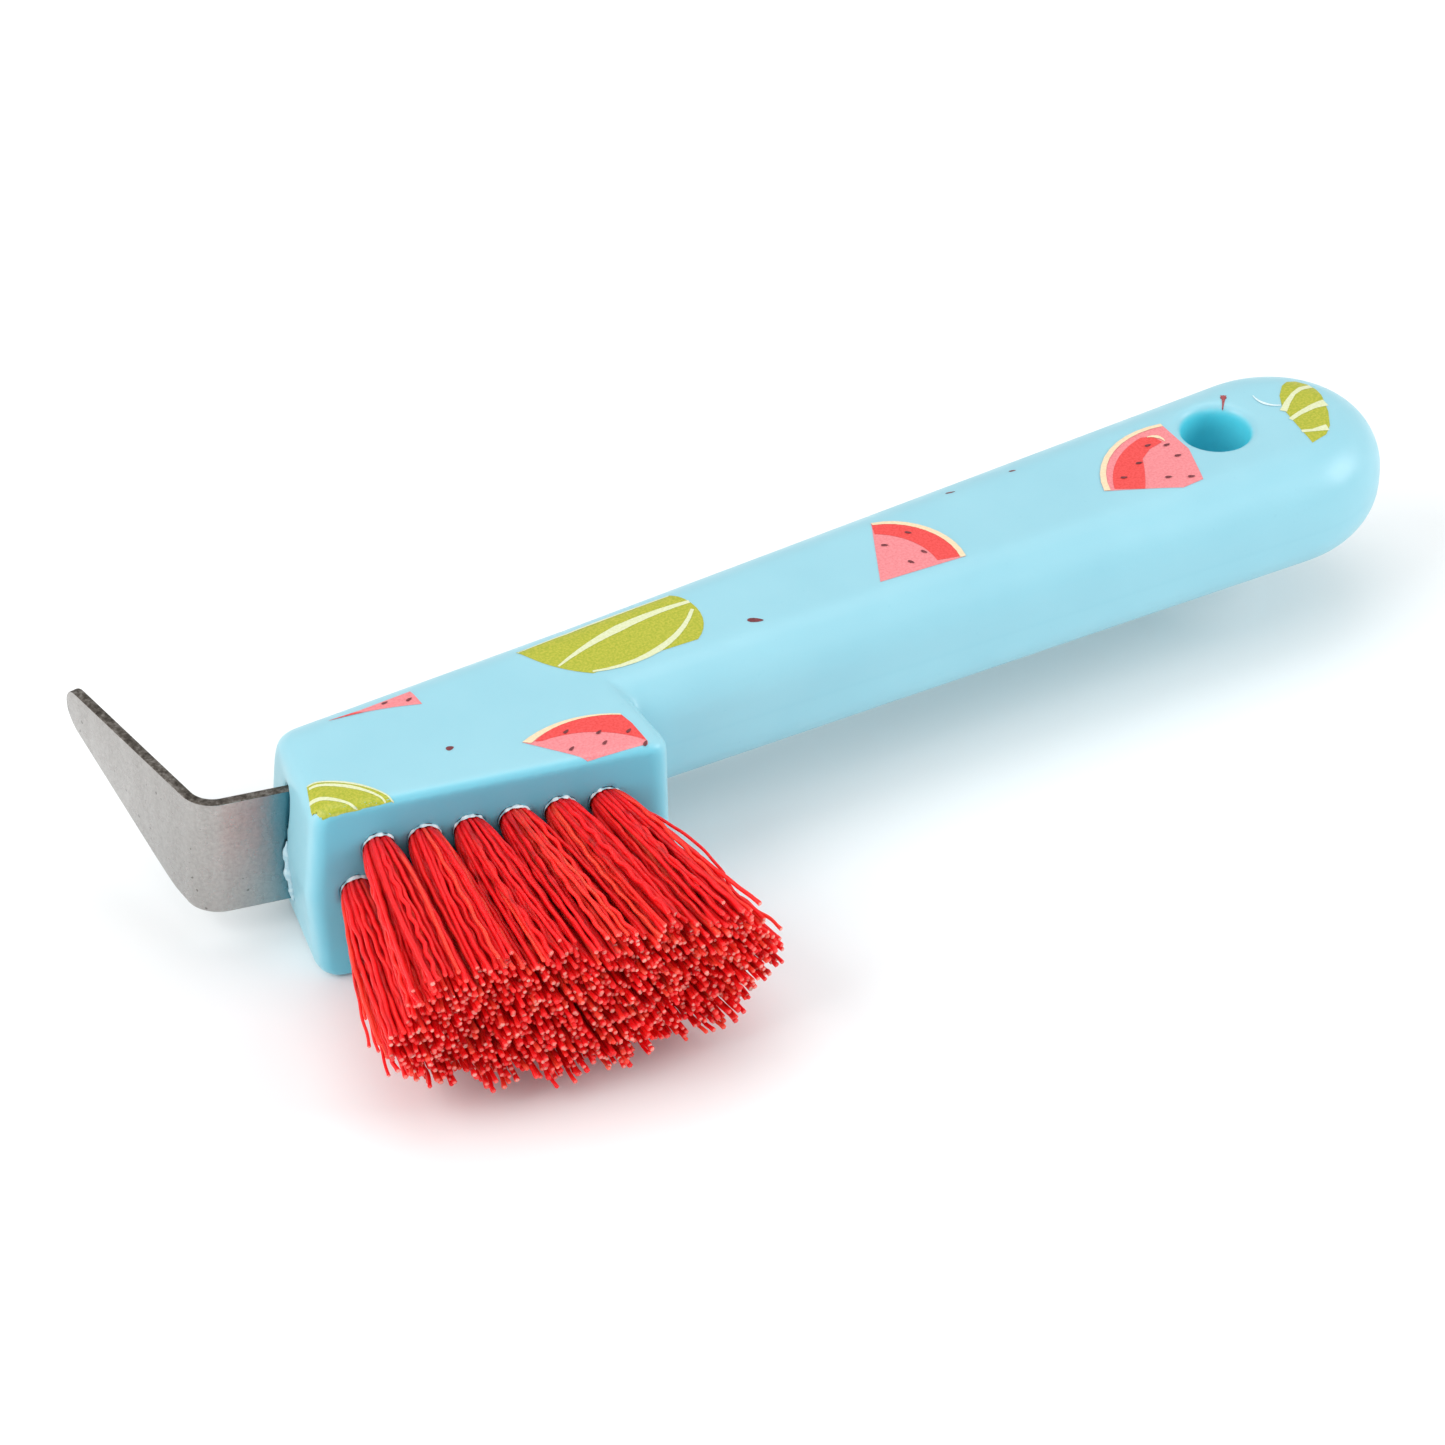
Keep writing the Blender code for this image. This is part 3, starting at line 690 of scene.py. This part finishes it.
def make_hole_burrs(material):
    """A low ragged lip round the mouth of every tuft hole, raised most along its upper side, where it is also
    painted paler as a highlight.
    """
    rng = np.random.default_rng(5)
    bm = bmesh.new()
    pale_and_highlight = []
    for _, u, z in tuft_places():
        phase = rng.uniform(0, 2 * math.pi, BURR_WAVES)
        size = rng.uniform(0.3, 1.0, BURR_WAVES)
        loops = []
        for step in range(BURR_STEPS):
            angle = 2 * math.pi * step / BURR_STEPS
            wave = sum(size[k] * math.sin((k + 1) * 2.0 * angle + phase[k]) for k in range(BURR_WAVES))
            ragged = (0.6 + 0.4 * math.tanh(wave)) * rng.uniform(0.8, 1.0)
            share = ragged * (0.06 + 0.94 * max(math.sin(angle + 0.25), 0.0) ** 0.7)
            height = 0.02 + BURR_HEIGHT * share
            outer = TUFT_HOLE_RADIUS + 0.06 + BURR_WIDTH * share
            profile = ((TUFT_HOLE_RADIUS - 0.04, 0.30, 0.0), (TUFT_HOLE_RADIUS + 0.01, -height * 0.8, share),
                       (TUFT_HOLE_RADIUS + 0.05 + 0.1 * share, -height, share), (outer, 0.10, share))
            ring = []
            for radius, depth, pale in profile:
                point = face_point(u + radius * math.cos(angle), depth, z + radius * math.sin(angle))
                ring.append(bm.verts.new(placed(point)))
                # painted highlight: the lip is paler where it is raised most, along the hole's upper side
                pale_and_highlight.append(min(2.5 * pale, 1.0))
            loops.append(ring)
        for step, here in enumerate(loops):
            there = loops[(step + 1) % BURR_STEPS]
            for i, corner in enumerate(here):
                j = (i + 1) % len(here)
                bm.faces.new((corner, here[j], there[j], there[i]))
    burrs = object_from_bmesh("hole_burrs", bm, [material], smooth_angle=60.0)
    set_attribute(burrs.data, "pale_and_highlight", pale_and_highlight)
    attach(burrs, "root")
    return burrs


def make_slot_flash(material):
    """Sliver of plastic squeezed out beside the steel, down the front side of its slot."""
    rng = np.random.default_rng(8)
    bm = bmesh.new()
    bottom = BLADE_BOTTOM - 0.2
    rings = []
    pale_and_highlight = []
    for step in range(FLASH_STEPS + 1):
        share = step / FLASH_STEPS
        z = FLASH_TOP + (bottom - FLASH_TOP) * share
        swell = math.sin(math.pi * min(share * 0.98 + 0.01, 1.0)) ** 0.5
        size = swell * (0.30 + 0.22 * math.sin(9.0 * share) ** 2 + rng.uniform(0.0, 0.12))
        centre_u = FACE_START - LEFT_DRAFT * (1.0 - abs(z) * 2 / BLOCK_THICKNESS) + 0.05
        centre_v = BLADE_FACE_OFFSET - BLADE_THICKNESS / 2 - GAP - 0.05 + rng.uniform(-0.06, 0.06)
        ring = []
        for turn in range(FLASH_SIDES):
            angle = 2 * math.pi * turn / FLASH_SIDES
            ring.append(face_point(centre_u + 1.3 * size * math.cos(angle),
                                   centre_v + 0.9 * size * math.sin(angle), z))
            # a random paler tone along the sliver
            pale_and_highlight.append(0.35 + 0.3 * rng.uniform())
        rings.append(ring)
    loft_rings(bm, rings)
    flash = object_from_bmesh("slot_flash", bm, [material], smooth_angle=60.0)
    set_attribute(flash.data, "pale_and_highlight", pale_and_highlight)
    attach(flash, "root")
    return flash


# ---- steel pick ----

def hook_lower_edge(distance):
    """Height of the pick's lower edge, level at first and then rising evenly to the tip."""
    past = distance - HOOK_TAPER_START
    eased = (past + math.sqrt(past ** 2 + HOOK_TAPER_BLEND ** 2)) / 2
    share = eased / (HOOK_LENGTH - HOOK_TAPER_START)
    return BLADE_BOTTOM + (BLADE_TOP - HOOK_TIP_WIDTH - BLADE_BOTTOM) * share


def blade_stations():
    """Path of the strip as (point, direction, lower edge, upper edge) from the tang's end to the tip."""
    stations = []
    tang_steps = 24
    for step in range(tang_steps + 1):
        u = TANG_LENGTH - (TANG_LENGTH + BEND_START) * step / tang_steps
        stations.append((Vector((u, BLADE_FACE_OFFSET)), 0.0, BLADE_BOTTOM, BLADE_TOP))
    for step in range(1, ARC_STEPS + 1):
        angle = BEND_ANGLE * step / ARC_STEPS
        point = Vector((-BEND_START - BEND_RADIUS * math.sin(angle),
                        BLADE_FACE_OFFSET + BEND_RADIUS * (1 - math.cos(angle))))
        stations.append((point, angle, BLADE_BOTTOM, BLADE_TOP))
    bend_end = stations[-1][0]
    along = Vector((-math.cos(BEND_ANGLE), math.sin(BEND_ANGLE)))
    straight_end = HOOK_LENGTH - HOOK_TIP_ROUND
    hook_steps = 40
    for step in range(1, hook_steps + 1):
        distance = straight_end * step / hook_steps
        stations.append((bend_end + along * distance, BEND_ANGLE, hook_lower_edge(distance), BLADE_TOP))
    for step in range(1, ARC_STEPS + 1):
        angle = TIP_SWEEP * step / ARC_STEPS
        distance = straight_end + HOOK_TIP_ROUND * math.sin(angle)
        inset = HOOK_TIP_ROUND * (1 - math.cos(angle))
        stations.append((bend_end + along * distance, BEND_ANGLE, hook_lower_edge(distance) + inset,
                         BLADE_TOP - inset))
    return stations


def blade_section(low, high):
    """Rounded rectangle as (across the sheet, height) points, from the lower front corner anticlockwise."""
    half = BLADE_THICKNESS / 2
    burr, dull = 0.14, 0.25       # the sheared sheet has one sharper and one rounder side
    steps = 4
    points = []
    corners = (((half - dull, low + dull), dull, -math.pi / 2), ((half - dull, high - dull), dull, 0.0),
               ((-half + burr, high - burr), burr, math.pi / 2), ((-half + burr, low + burr), burr, math.pi))
    for (across, height), radius, start in corners:
        for step in range(steps + 1):
            angle = start + math.pi / 2 * step / steps
            points.append((across + radius * math.cos(angle), height + radius * math.sin(angle)))
    return points


def make_blade(face, edge):
    bm = bmesh.new()
    rings = []
    for point, angle, low, high in blade_stations():
        across = Vector((math.sin(angle), math.cos(angle)))
        spots = [(point + across * offset, z) for offset, z in blade_section(low, high)]
        rings.append([face_point(spot.x, spot.y, z) for spot, z in spots])
    ends = loft_rings(bm, rings)
    for side in bm.faces:
        side.normal_update()
        side.material_index = int(abs(side.normal.z) > EDGE_SLOPE or side in ends)
    blade = object_from_bmesh("steel_pick", bm, [face, edge])
    bm = bmesh.new()
    add_tang_hole(bm, TANG_HOLE_RADIUS)
    cutter = object_from_bmesh("tang_hole_cutter", bm)
    add_boolean(blade, cutter, "DIFFERENCE")
    apply_modifiers(blade, [cutter])
    # painted reflection of the block, strongest where the strip leaves it
    along = vertex_places(blade.data) @ np.array(FACE_U)
    cast = np.clip(1.0 + (along - FACE_START) / REFLECTION_LENGTH, 0.0, 1.0) ** 1.5
    set_attribute(blade.data, "painted_block_reflection", cast)
    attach(blade, "root")
    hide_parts("pick_blade")
    return blade


# ---- bristles ----

def tuft_direction(u):
    """Lean of a tuft: the tufts fan out along the face."""
    first = OUTER_ROW_START - TUFT_PITCH / 2
    last = first + (max(ROW_COUNTS) - 1) * TUFT_PITCH
    lean = FAN_LEFT + (FAN_RIGHT - FAN_LEFT) * (u - first) / (last - first)
    return np.array((math.sin(lean), -math.cos(lean), 0.0))


def trimmed_length(u, z):
    """The brush is trimmed to a slight bow: the lower rows are longest in the middle."""
    middle = OUTER_ROW_START + (ROW_COUNTS[0] - 1) * TUFT_PITCH / 2
    across = (u - middle) / (middle - OUTER_ROW_START)
    depth = (ROW_HEIGHTS[0] - z) / (ROW_HEIGHTS[0] - ROW_HEIGHTS[2])
    return TUFT_LENGTH + TRIM_BOW * depth * math.cos(math.pi * across)


def strand_paths(u, z, rng):
    """Centre lines of one tuft's strands in millimetres, as an array of strand, step and axis."""
    outward = tuft_direction(u)
    upward = np.array(UP)
    side = np.cross(upward, outward)
    mouth = np.array(face_point(u, 0.0, z))
    count = STRANDS_PER_TUFT
    index = np.arange(count)
    root_reach = TUFT_HOLE_RADIUS - STRAND_RADIUS - 0.05
    radius = root_reach * np.sqrt((index + 0.5) / count)
    turn = index * math.pi * (3 - math.sqrt(5))
    root = np.stack([radius * np.cos(turn), radius * np.sin(turn)], 1)
    tip = root * (TUFT_SPREAD / root_reach) + rng.normal(0, TIP_SCATTER, (count, 2))
    length = trimmed_length(u, z) + rng.uniform(*TRIM_SCATTER, count) + rng.normal(0, 0.45)
    share = np.linspace(0.0, 1.0, STRAND_STEPS + 1)
    along = STRAND_START + (length[:, None] - STRAND_START) * share[None, :]
    outside = np.clip(along, 0.0, None)
    opening = (outside / TUFT_LENGTH) ** OPENING_POWER
    offset = root[:, None, :] + (tip - root)[:, None, :] * opening[:, :, None]
    wave_length = rng.uniform(*CRIMP_LENGTH, count)[:, None]
    phase = rng.uniform(0, 2 * math.pi, count)[:, None]
    plane = rng.uniform(0, 2 * math.pi, count)[:, None]
    size = rng.uniform(*CRIMP_SIZE, count)[:, None] * np.clip(along / 7.0, 0.0, 1.0)
    wave = size * np.sin(2 * math.pi * along / wave_length + phase)
    drift = DRIFT_SIZE * np.sin(along / 9.0 + phase * 1.7) * np.clip(along / 12.0, 0.0, 1.0)
    offset[:, :, 0] += wave * np.cos(plane) + drift * np.sin(phase)
    offset[:, :, 1] += wave * np.sin(plane) + drift * np.cos(phase)
    inside = np.clip(-along, 0.0, None)
    return (mouth + outside[:, :, None] * outward + inside[:, :, None] * np.array(FACE_V)
            + offset[:, :, :1] * side + offset[:, :, 1:] * upward)


def make_strands(name, paths, thickness, material, rng):
    """Closed strands along the given centre lines, their cut ends slightly mushroomed."""
    count, steps, _ = paths.shape
    tangent = np.gradient(paths, axis=1)
    tangent /= np.linalg.norm(tangent, axis=2, keepdims=True)
    across = np.cross(tangent, np.array(UP))
    across /= np.linalg.norm(across, axis=2, keepdims=True)
    upward = np.cross(across, tangent)
    radius = np.full((count, steps), STRAND_RADIUS) * rng.uniform(*thickness, count)[:, None]
    end = paths[:, -1:] + tangent[:, -1:] * END_LENGTH
    paths = np.concatenate([paths, end], axis=1)
    across = np.concatenate([across, across[:, -1:]], axis=1)
    upward = np.concatenate([upward, upward[:, -1:]], axis=1)
    radius = np.concatenate([radius, radius[:, -1:] * 0.75], axis=1)
    radius[:, -2] *= END_SWELL
    steps += 1
    angles = 2 * math.pi * np.arange(STRAND_SIDES) / STRAND_SIDES
    rings = (paths[:, :, None, :]
             + across[:, :, None, :] * (radius[:, :, None] * np.cos(angles))[..., None]
             + upward[:, :, None, :] * (radius[:, :, None] * np.sin(angles))[..., None])
    points = rings.reshape(-1, 3) * MM + np.array(ORIGIN)
    faces = []
    for strand in range(count):
        base = strand * steps * STRAND_SIDES
        for step in range(steps - 1):
            low = base + step * STRAND_SIDES
            for i in range(STRAND_SIDES):
                j = (i + 1) % STRAND_SIDES
                faces.append((low + i, low + j, low + STRAND_SIDES + j, low + STRAND_SIDES + i))
        faces.append(tuple(base + i for i in reversed(range(STRAND_SIDES))))
        last = base + (steps - 1) * STRAND_SIDES
        faces.append(tuple(last + i for i in range(STRAND_SIDES)))
    mesh = bpy.data.meshes.new(name)
    mesh.from_pydata(points.tolist(), [], faces)
    shade = np.repeat(rng.uniform(0.0, 1.0, count), steps * STRAND_SIDES)
    cut = np.zeros((count, steps, STRAND_SIDES))
    cut[:, -1:] = rng.uniform(0.0, 1.0, (count, 1, 1)) ** 1.5
    set_attribute(mesh, "strand_shade", shade)
    set_attribute(mesh, "strand_cut", cut.reshape(-1))
    mesh.materials.append(material)
    mesh.shade_smooth()
    strands = new_object(name, mesh)
    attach(strands, "root")
    return strands


def make_strays(material, rng):
    """A few strands that stand away from the ends of the rows, some of them in a loose bow."""
    share = np.linspace(0.0, 1.0, STRAND_STEPS + 1)
    paths = []
    for u, z, reach, lean, drop, bow in STRAYS:
        mouth = np.array(face_point(u, -0.3, z))
        turn = math.radians(lean)
        outward = np.array((math.sin(turn), -math.cos(turn), 0.0))
        side = np.cross(np.array(UP), outward)
        along = reach * share
        loose = bow * np.sin(math.pi * share) + 0.08 * np.sin(along * 1.2 + z) * share
        sag = -drop * share ** 1.5 + 0.06 * np.sin(along * 1.5)
        paths.append(mouth + along[:, None] * outward + loose[:, None] * side + sag[:, None] * np.array(UP))
    return make_strands("bristle_strays", np.array(paths), (0.62, 0.85), material, rng)


# ---- print on the flat top ----

# The motifs' points come from places picked on the photo and turned into millimetres by a helper script, for
# an earlier camera fit.  This is their scale.
PRINT_SCALE = 1.06


def arc_through(a, b, c, steps=10):
    """Points after a and up to c on the circle through three points."""
    ax, ay = a
    bx, by = b
    cx, cy = c
    d = 2 * (ax * (by - cy) + bx * (cy - ay) + cx * (ay - by))
    ux = ((ax**2 + ay**2) * (by - cy) + (bx**2 + by**2) * (cy - ay) + (cx**2 + cy**2) * (ay - by)) / d
    uy = ((ax**2 + ay**2) * (cx - bx) + (bx**2 + by**2) * (ax - cx) + (cx**2 + cy**2) * (bx - ax)) / d
    radius = math.hypot(ax - ux, ay - uy)
    start, via, end = (math.atan2(y - uy, x - ux) for x, y in (a, b, c))
    sweep = (end - start) % (2 * math.pi)
    if (via - start) % (2 * math.pi) > sweep:
        sweep -= 2 * math.pi
    turns = [start + sweep * k / steps for k in range(1, steps + 1)]
    return [(ux + radius * math.cos(turn), uy + radius * math.sin(turn)) for turn in turns]


def outline(*parts):
    """Closed or open outline: each part is a corner (x, y), or an arc's (via, end) from the corner before."""
    points = []
    for part in parts:
        if isinstance(part[0], tuple):
            points += arc_through(points[-1], *part)
        else:
            points.append(part)
    return points


def ribbon(points, widths):
    """Tapering stripe along a line, its width given at the start, the middle and the end."""
    count = len(points)
    left, right = [], []
    for i, (x, y) in enumerate(points):
        x0, y0 = points[max(i - 1, 0)]
        x1, y1 = points[min(i + 1, count - 1)]
        length = math.hypot(x1 - x0, y1 - y0)
        normal = (-(y1 - y0) / length, (x1 - x0) / length)
        share = i / (count - 1)
        half = np.interp(share, (0.0, 0.5, 1.0), widths) / 2
        left.append((x + normal[0] * half, y + normal[1] * half))
        right.append((x - normal[0] * half, y - normal[1] * half))
    return left + right[::-1]


def seed_shape(x, y, angle, length=0.85, width=0.38):
    """A pip: an ellipse drawn out to a point at one end."""
    points = []
    turn = math.radians(angle)
    for step in range(14):
        a = 2 * math.pi * step / 14
        along = length / 2 * math.cos(a)
        across = width / 2 * math.sin(a) * (1.0 - 0.35 * math.cos(a))
        points.append((x + along * math.cos(turn) - across * math.sin(turn),
                       y + along * math.sin(turn) + across * math.cos(turn)))
    return points


class Print:
    """Lays flat shapes on the handle's top as thin layers of ink that follow its surface."""

    def __init__(self, handle):
        self.surface = BVHTree.FromObject(handle, bpy.context.evaluated_depsgraph_get())
        self.above = BLOCK_THICKNESS / 2 + 5.0

    def lay(self, name, layers):
        """layers: list of (shapes, material), lowest first."""
        bm = bmesh.new()
        materials = []
        for level, (shapes, material) in enumerate(layers, start=1):
            materials.append(material)
            for shape in shapes:
                self.add_shape(bm, shape, level, len(materials) - 1)
        piece = object_from_bmesh(name, bm, materials)
        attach(piece, "root")
        return piece

    def add_shape(self, bm, shape, level, material_index):
        part = bmesh.new()
        corners = [part.verts.new((x * PRINT_SCALE, y * PRINT_SCALE, 0.0)) for x, y in shape]
        face = part.faces.new(corners)
        face.normal_update()
        if face.normal.z < 0:
            bmesh.ops.reverse_faces(part, faces=[face])
        bmesh.ops.triangulate(part, faces=part.faces[:])
        for axis in (0, 1):
            values = [corner.co[axis] for corner in part.verts]
            line = math.ceil(min(values) / PRINT_GRID) * PRINT_GRID
            stop = max(values)
            while line < stop:
                normal = Vector((1.0, 0.0, 0.0)) if axis == 0 else Vector((0.0, 1.0, 0.0))
                bmesh.ops.bisect_plane(part, geom=part.verts[:] + part.edges[:] + part.faces[:],
                                       plane_co=normal * line, plane_no=normal)
                line += PRINT_GRID
        made = {}
        for vert in part.verts:
            start = placed((vert.co.x, vert.co.y, self.above))
            hit, normal, _, _ = self.surface.ray_cast(start, Vector((0.0, 0.0, -1.0)))
            if hit is None or normal.z < PRINT_SLOPE:
                edge = placed((vert.co.x, vert.co.y, BLOCK_THICKNESS / 2 - PRINT_DROP))
                hit, normal, _, _ = self.surface.find_nearest(edge)
            made[vert] = bm.verts.new(hit + normal * PRINT_LIFT * level * MM)
        for face in part.faces:
            copy = bm.faces.new([made[vert] for vert in face.verts])
            copy.material_index = material_index
        part.free()


def seeds(*places):
    return [seed_shape(*place) for place in places]


def make_print(handle):
    ink_red = ink_material("ink_red", (0.72, 0.042, 0.038), (0.82, 0.075, 0.070))
    ink_pink = ink_material("ink_pink", (0.74, 0.195, 0.215), (0.84, 0.260, 0.275))
    ink_cream = ink_material("ink_cream", (0.78, 0.60, 0.38), (0.84, 0.68, 0.46))
    ink_lime = ink_material("ink_lime", (0.33, 0.38, 0.014), (0.49, 0.47, 0.040))
    ink_pale = ink_material("ink_pale", (0.64, 0.67, 0.38), (0.72, 0.75, 0.50))
    ink_white = ink_material("ink_white", (0.62, 0.78, 0.82), (0.74, 0.86, 0.88))
    ink_red_dark = ink_material("ink_red_dark", (0.26, 0.030, 0.040), (0.42, 0.080, 0.085))
    ink_seed = ink_material("ink_seed", (0.10, 0.012, 0.015), (0.22, 0.035, 0.045))
    sheet = Print(handle)

    sheet.lay("print_slice_back", [
        ([outline((8.5, 14.1), (12.5, 13.95), (18.9, 14.2), (18.9, 11.3), ((13.5, 13.05), (8.5, 14.1)))],
         ink_pink),
        ([outline((8.5, 14.1), (11.6, 13.95), (12.6, 13.25), (10.5, 13.7))], ink_red),
        (seeds((15.4, 13.6, 10), (18.0, 12.7, 20)), ink_seed)])
    sheet.lay("print_slice_front", [
        ([outline((25.3, -0.2), ((31.4, 0.8), (37.2, -1.2)), (37.5, -3.3), (37.5, -6.8), (37.3, -7.2),
                  (30.2, -6.2))], ink_pink),
        ([outline((26.6, -0.75), ((31.6, 0.5), (37.2, -1.35)), (37.5, -3.3), (37.4, -6.6),
                  ((32.6, -2.3), (27.3, -1.1)))], ink_red),
        ([outline((25.3, -0.2), ((31.4, 0.8), (37.2, -1.2)), (37.2, -1.45), ((31.5, 0.35), (26.1, -0.85)))],
         ink_cream),
        (seeds((30.4, -1.0, 25), (33.5, -2.9, 25), (36.5, -4.3, 30), (33.2, -4.8, 30), (29.5, -3.9, 30),
               (37.1, -7.0, 40)), ink_seed)])
    sheet.lay("print_slice_middle", [
        ([outline((79.7, 15.0), ((84.6, 11.5), (85.9, 4.2)), (74.8, 4.9))], ink_pink),
        ([outline((79.7, 15.0), ((84.5, 11.5), (85.9, 4.3)), (82.6, 5.1), ((81.9, 9.6), (78.9, 12.9)))],
         ink_red),
        ([outline((79.7, 15.0), ((84.6, 11.5), (85.9, 4.2)), (85.2, 4.25), ((84.0, 11.2), (79.6, 14.5)))],
         ink_cream),
        (seeds((82.4, 11.2, -45), (78.8, 10.5, -30), (82.1, 7.2, -60), (79.8, 6.3, -60)), ink_seed)])
    sheet.lay("print_slice_hole", [
        ([outline((119.5, 14.5), ((111.6, 13.3), (106.5, 6.7)), (115.0, 2.8), (117.9, 3.0), (119.7, 8.8))],
         ink_pink),
        ([outline((117.25, 12.85), (115.9, 13.35), ((111.6, 11.4), (107.76, 6.43)), (110.9, 4.7),
                  ((112.5, 7.2), (113.84, 9.73)), (115.58, 10.9), (117.7, 11.4))], ink_red),
        ([outline((119.5, 14.5), ((111.6, 13.3), (106.5, 6.7)), (107.2, 6.4),
                  ((112.0, 12.8), (119.5, 13.95)))], ink_cream),
        ([ribbon(outline((116.6, 13.0), ((117.7, 12.5), (118.0, 11.3))), (0.15, 0.55, 0.1))], ink_cream),
        (seeds((115.8, 11.6, 0), (117.8, 10.6, 0), (117.8, 8.2, -10), (113.0, 9.2, -10), (109.9, 7.7, -20),
               (114.5, 5.2, -20), (116.9, 4.0, -20)), ink_seed)])
    sheet.lay("print_rind_neck", [
        ([outline((32.5, 14.4), (52.8, 15.0), ((54.1, 12.0), (51.4, 6.1)), (45.2, 6.4), (38.1, 6.6),
                  ((34.6, 10.2), (32.5, 14.4)))], ink_lime),
        ([ribbon(outline((35.3, 9.6), ((43.5, 12.1), (54.0, 12.6))), (0.25, 1.2, 0.5)),
          ribbon(outline((38.2, 6.9), ((47.5, 7.0), (53.6, 11.2))), (0.3, 0.9, 0.4)),
          ribbon(outline((32.6, 14.2), ((42.0, 14.75), (52.6, 14.9))), (0.15, 0.35, 0.2))], ink_pale)])
    sheet.lay("print_rind_corner", [
        ([outline((1.4, 5.35), ((6.0, 2.6), (8.5, -1.7)), (4.0, -1.3), (-0.45, -1.1), (0.1, 1.8))], ink_lime),
        ([ribbon(outline((1.4, 4.75), ((5.3, 2.4), (7.6, -1.4))), (0.35, 0.55, 0.2)),
          ribbon(outline((0.5, 2.9), ((2.8, 1.3), (4.4, -1.0))), (0.6, 0.5, 0.2)),
          ribbon(outline((1.4, 5.3), ((6.0, 2.55), (8.4, -1.7))), (0.2, 0.3, 0.15))], ink_pale)])
    sheet.lay("print_rind_end", [
        ([outline((133.1, 2.6), (133.25, 4.5), (133.55, 7.5), (133.9, 10.05), (134.95, 12.2), (136.4, 13.8),
                  (137.5, 14.35), (138.6, 14.1), (139.5, 12.8), (139.7, 11.4), (139.5, 10.0), (138.25, 6.75),
                  (136.85, 4.4), (135.5, 3.2))], ink_lime),
        ([ribbon(outline((133.6, 9.4), (135.0, 10.6), (136.6, 11.7), (138.0, 12.2), (139.5, 12.2)),
                 (0.9, 0.55, 0.8)),
          ribbon(outline((133.4, 7.6), (135.04, 8.1), (137.2, 8.45), (139.0, 8.4)), (0.6, 0.7, 1.3)),
          ribbon(outline((133.2, 5.0), (134.5, 4.5), (136.4, 4.2)), (0.5, 0.5, 1.1))], ink_pale)])
    sheet.lay("print_pips", [
        (seeds((17.9, 2.9, 0, 0.95, 0.7), (58.8, 5.9, -30, 1.9, 0.75), (90.9, 15.6, -15, 1.2, 0.3),
               (99.4, 15.5, -15, 0.9, 0.3), (129.0, 15.3, 57, 0.9, 0.75)), ink_seed),
        ([ribbon(outline((129.2, 15.6), (128.6, 14.7), (127.75, 13.6)), (0.75, 0.35, 0.08))], ink_red_dark),
        ([ribbon(outline((132.2, 13.8), ((132.4, 12.0), (134.0, 10.5))), (0.1, 0.4, 0.2))], ink_white)])


# ---- carried-over nodes, stage, lights and camera ----

def finish_anchors(material):
    for name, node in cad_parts.items():
        if name.startswith("anchor_"):
            for slot in node.material_slots:
                slot.link = "OBJECT"
                slot.material = material


def make_floor(material):
    half = 3.0
    corners = [(-half, -half, 0), (half, -half, 0), (half, half, 0), (-half, half, 0)]
    mesh = bpy.data.meshes.new("floor")
    mesh.from_pydata(corners, [], [(0, 1, 2, 3)])
    mesh.materials.append(material)
    new_object("floor", mesh)


def make_light(name, place, target, size, power, colour=(1.0, 1.0, 1.0)):
    light = bpy.data.lights.new(name, "AREA")
    light.shape = "RECTANGLE"
    light.size, light.size_y = size
    light.energy = power
    light.color = colour
    item = new_object(name, light)
    item.location = place
    item.rotation_euler = (Vector(target) - Vector(place)).to_track_quat("-Z", "Y").to_euler()


def make_lights():
    middle = (0.0, 0.0, 0.01)
    make_light("softbox_left", (-0.75, 0.10, 0.55), middle, (0.7, 0.7), 5.0)
    make_light("softbox_right", (0.85, -0.40, 0.50), middle, (0.5, 0.5), 4.6)
    make_light("softbox_top", (0.05, 0.30, 1.00), middle, (0.9, 0.6), 2.6)
    make_light("softbox_front", (-0.15, -1.00, 0.22), middle, (0.8, 0.4), 2.2, (0.45, 0.90, 1.0))
    world = bpy.data.worlds.new("studio")
    bpy.context.scene.world = world
    world.use_nodes = True
    background = world.node_tree.nodes["Background"]
    background.inputs["Color"].default_value = (1.0, 1.0, 1.0, 1.0)
    background.inputs["Strength"].default_value = 0.62
    bpy.context.scene.view_settings.view_transform = "Standard"


def make_camera():
    """Long lens, above the bristle side and a little to the pick's left."""
    azimuth = math.radians(-30.546)
    elevation = math.radians(39.060)
    roll = math.radians(0.472)
    distance = 0.71955
    target = placed((54.38, 0.37, 4.45))
    back = Vector((math.sin(azimuth) * math.cos(elevation), -math.cos(azimuth) * math.cos(elevation),
                   math.sin(elevation)))
    camera = bpy.data.cameras.new("camera")
    camera.lens = 149.48
    camera.sensor_width = 36.0
    camera.clip_start = 0.01
    item = new_object("camera", camera)
    item.location = target + back * distance
    aim = (-back).to_track_quat("-Z", "Y").to_matrix().to_4x4()
    item.rotation_euler = (aim @ Matrix.Rotation(roll, 4, "Z")).to_euler()
    bpy.context.scene.camera = item


make_camera()
make_lights()
make_floor(floor_material())
blue = plastic_material()
handle = make_handle(blue)
torn = flash_material()
make_hole_burrs(torn)
make_slot_flash(torn)
make_blade(steel_material(), sheared_edge_material())
nylon = nylon_material()
strand_rng = np.random.default_rng(11)
for tuft_name, tuft_u, tuft_z in tuft_places():
    tuft_paths = strand_paths(tuft_u, tuft_z, strand_rng)
    tuft = make_strands("bristles_" + tuft_name, tuft_paths, (0.85, 1.15), nylon, strand_rng)
    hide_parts("tuft_" + tuft_name)
make_strays(nylon, strand_rng)
make_print(handle)
finish_anchors(brass_material())
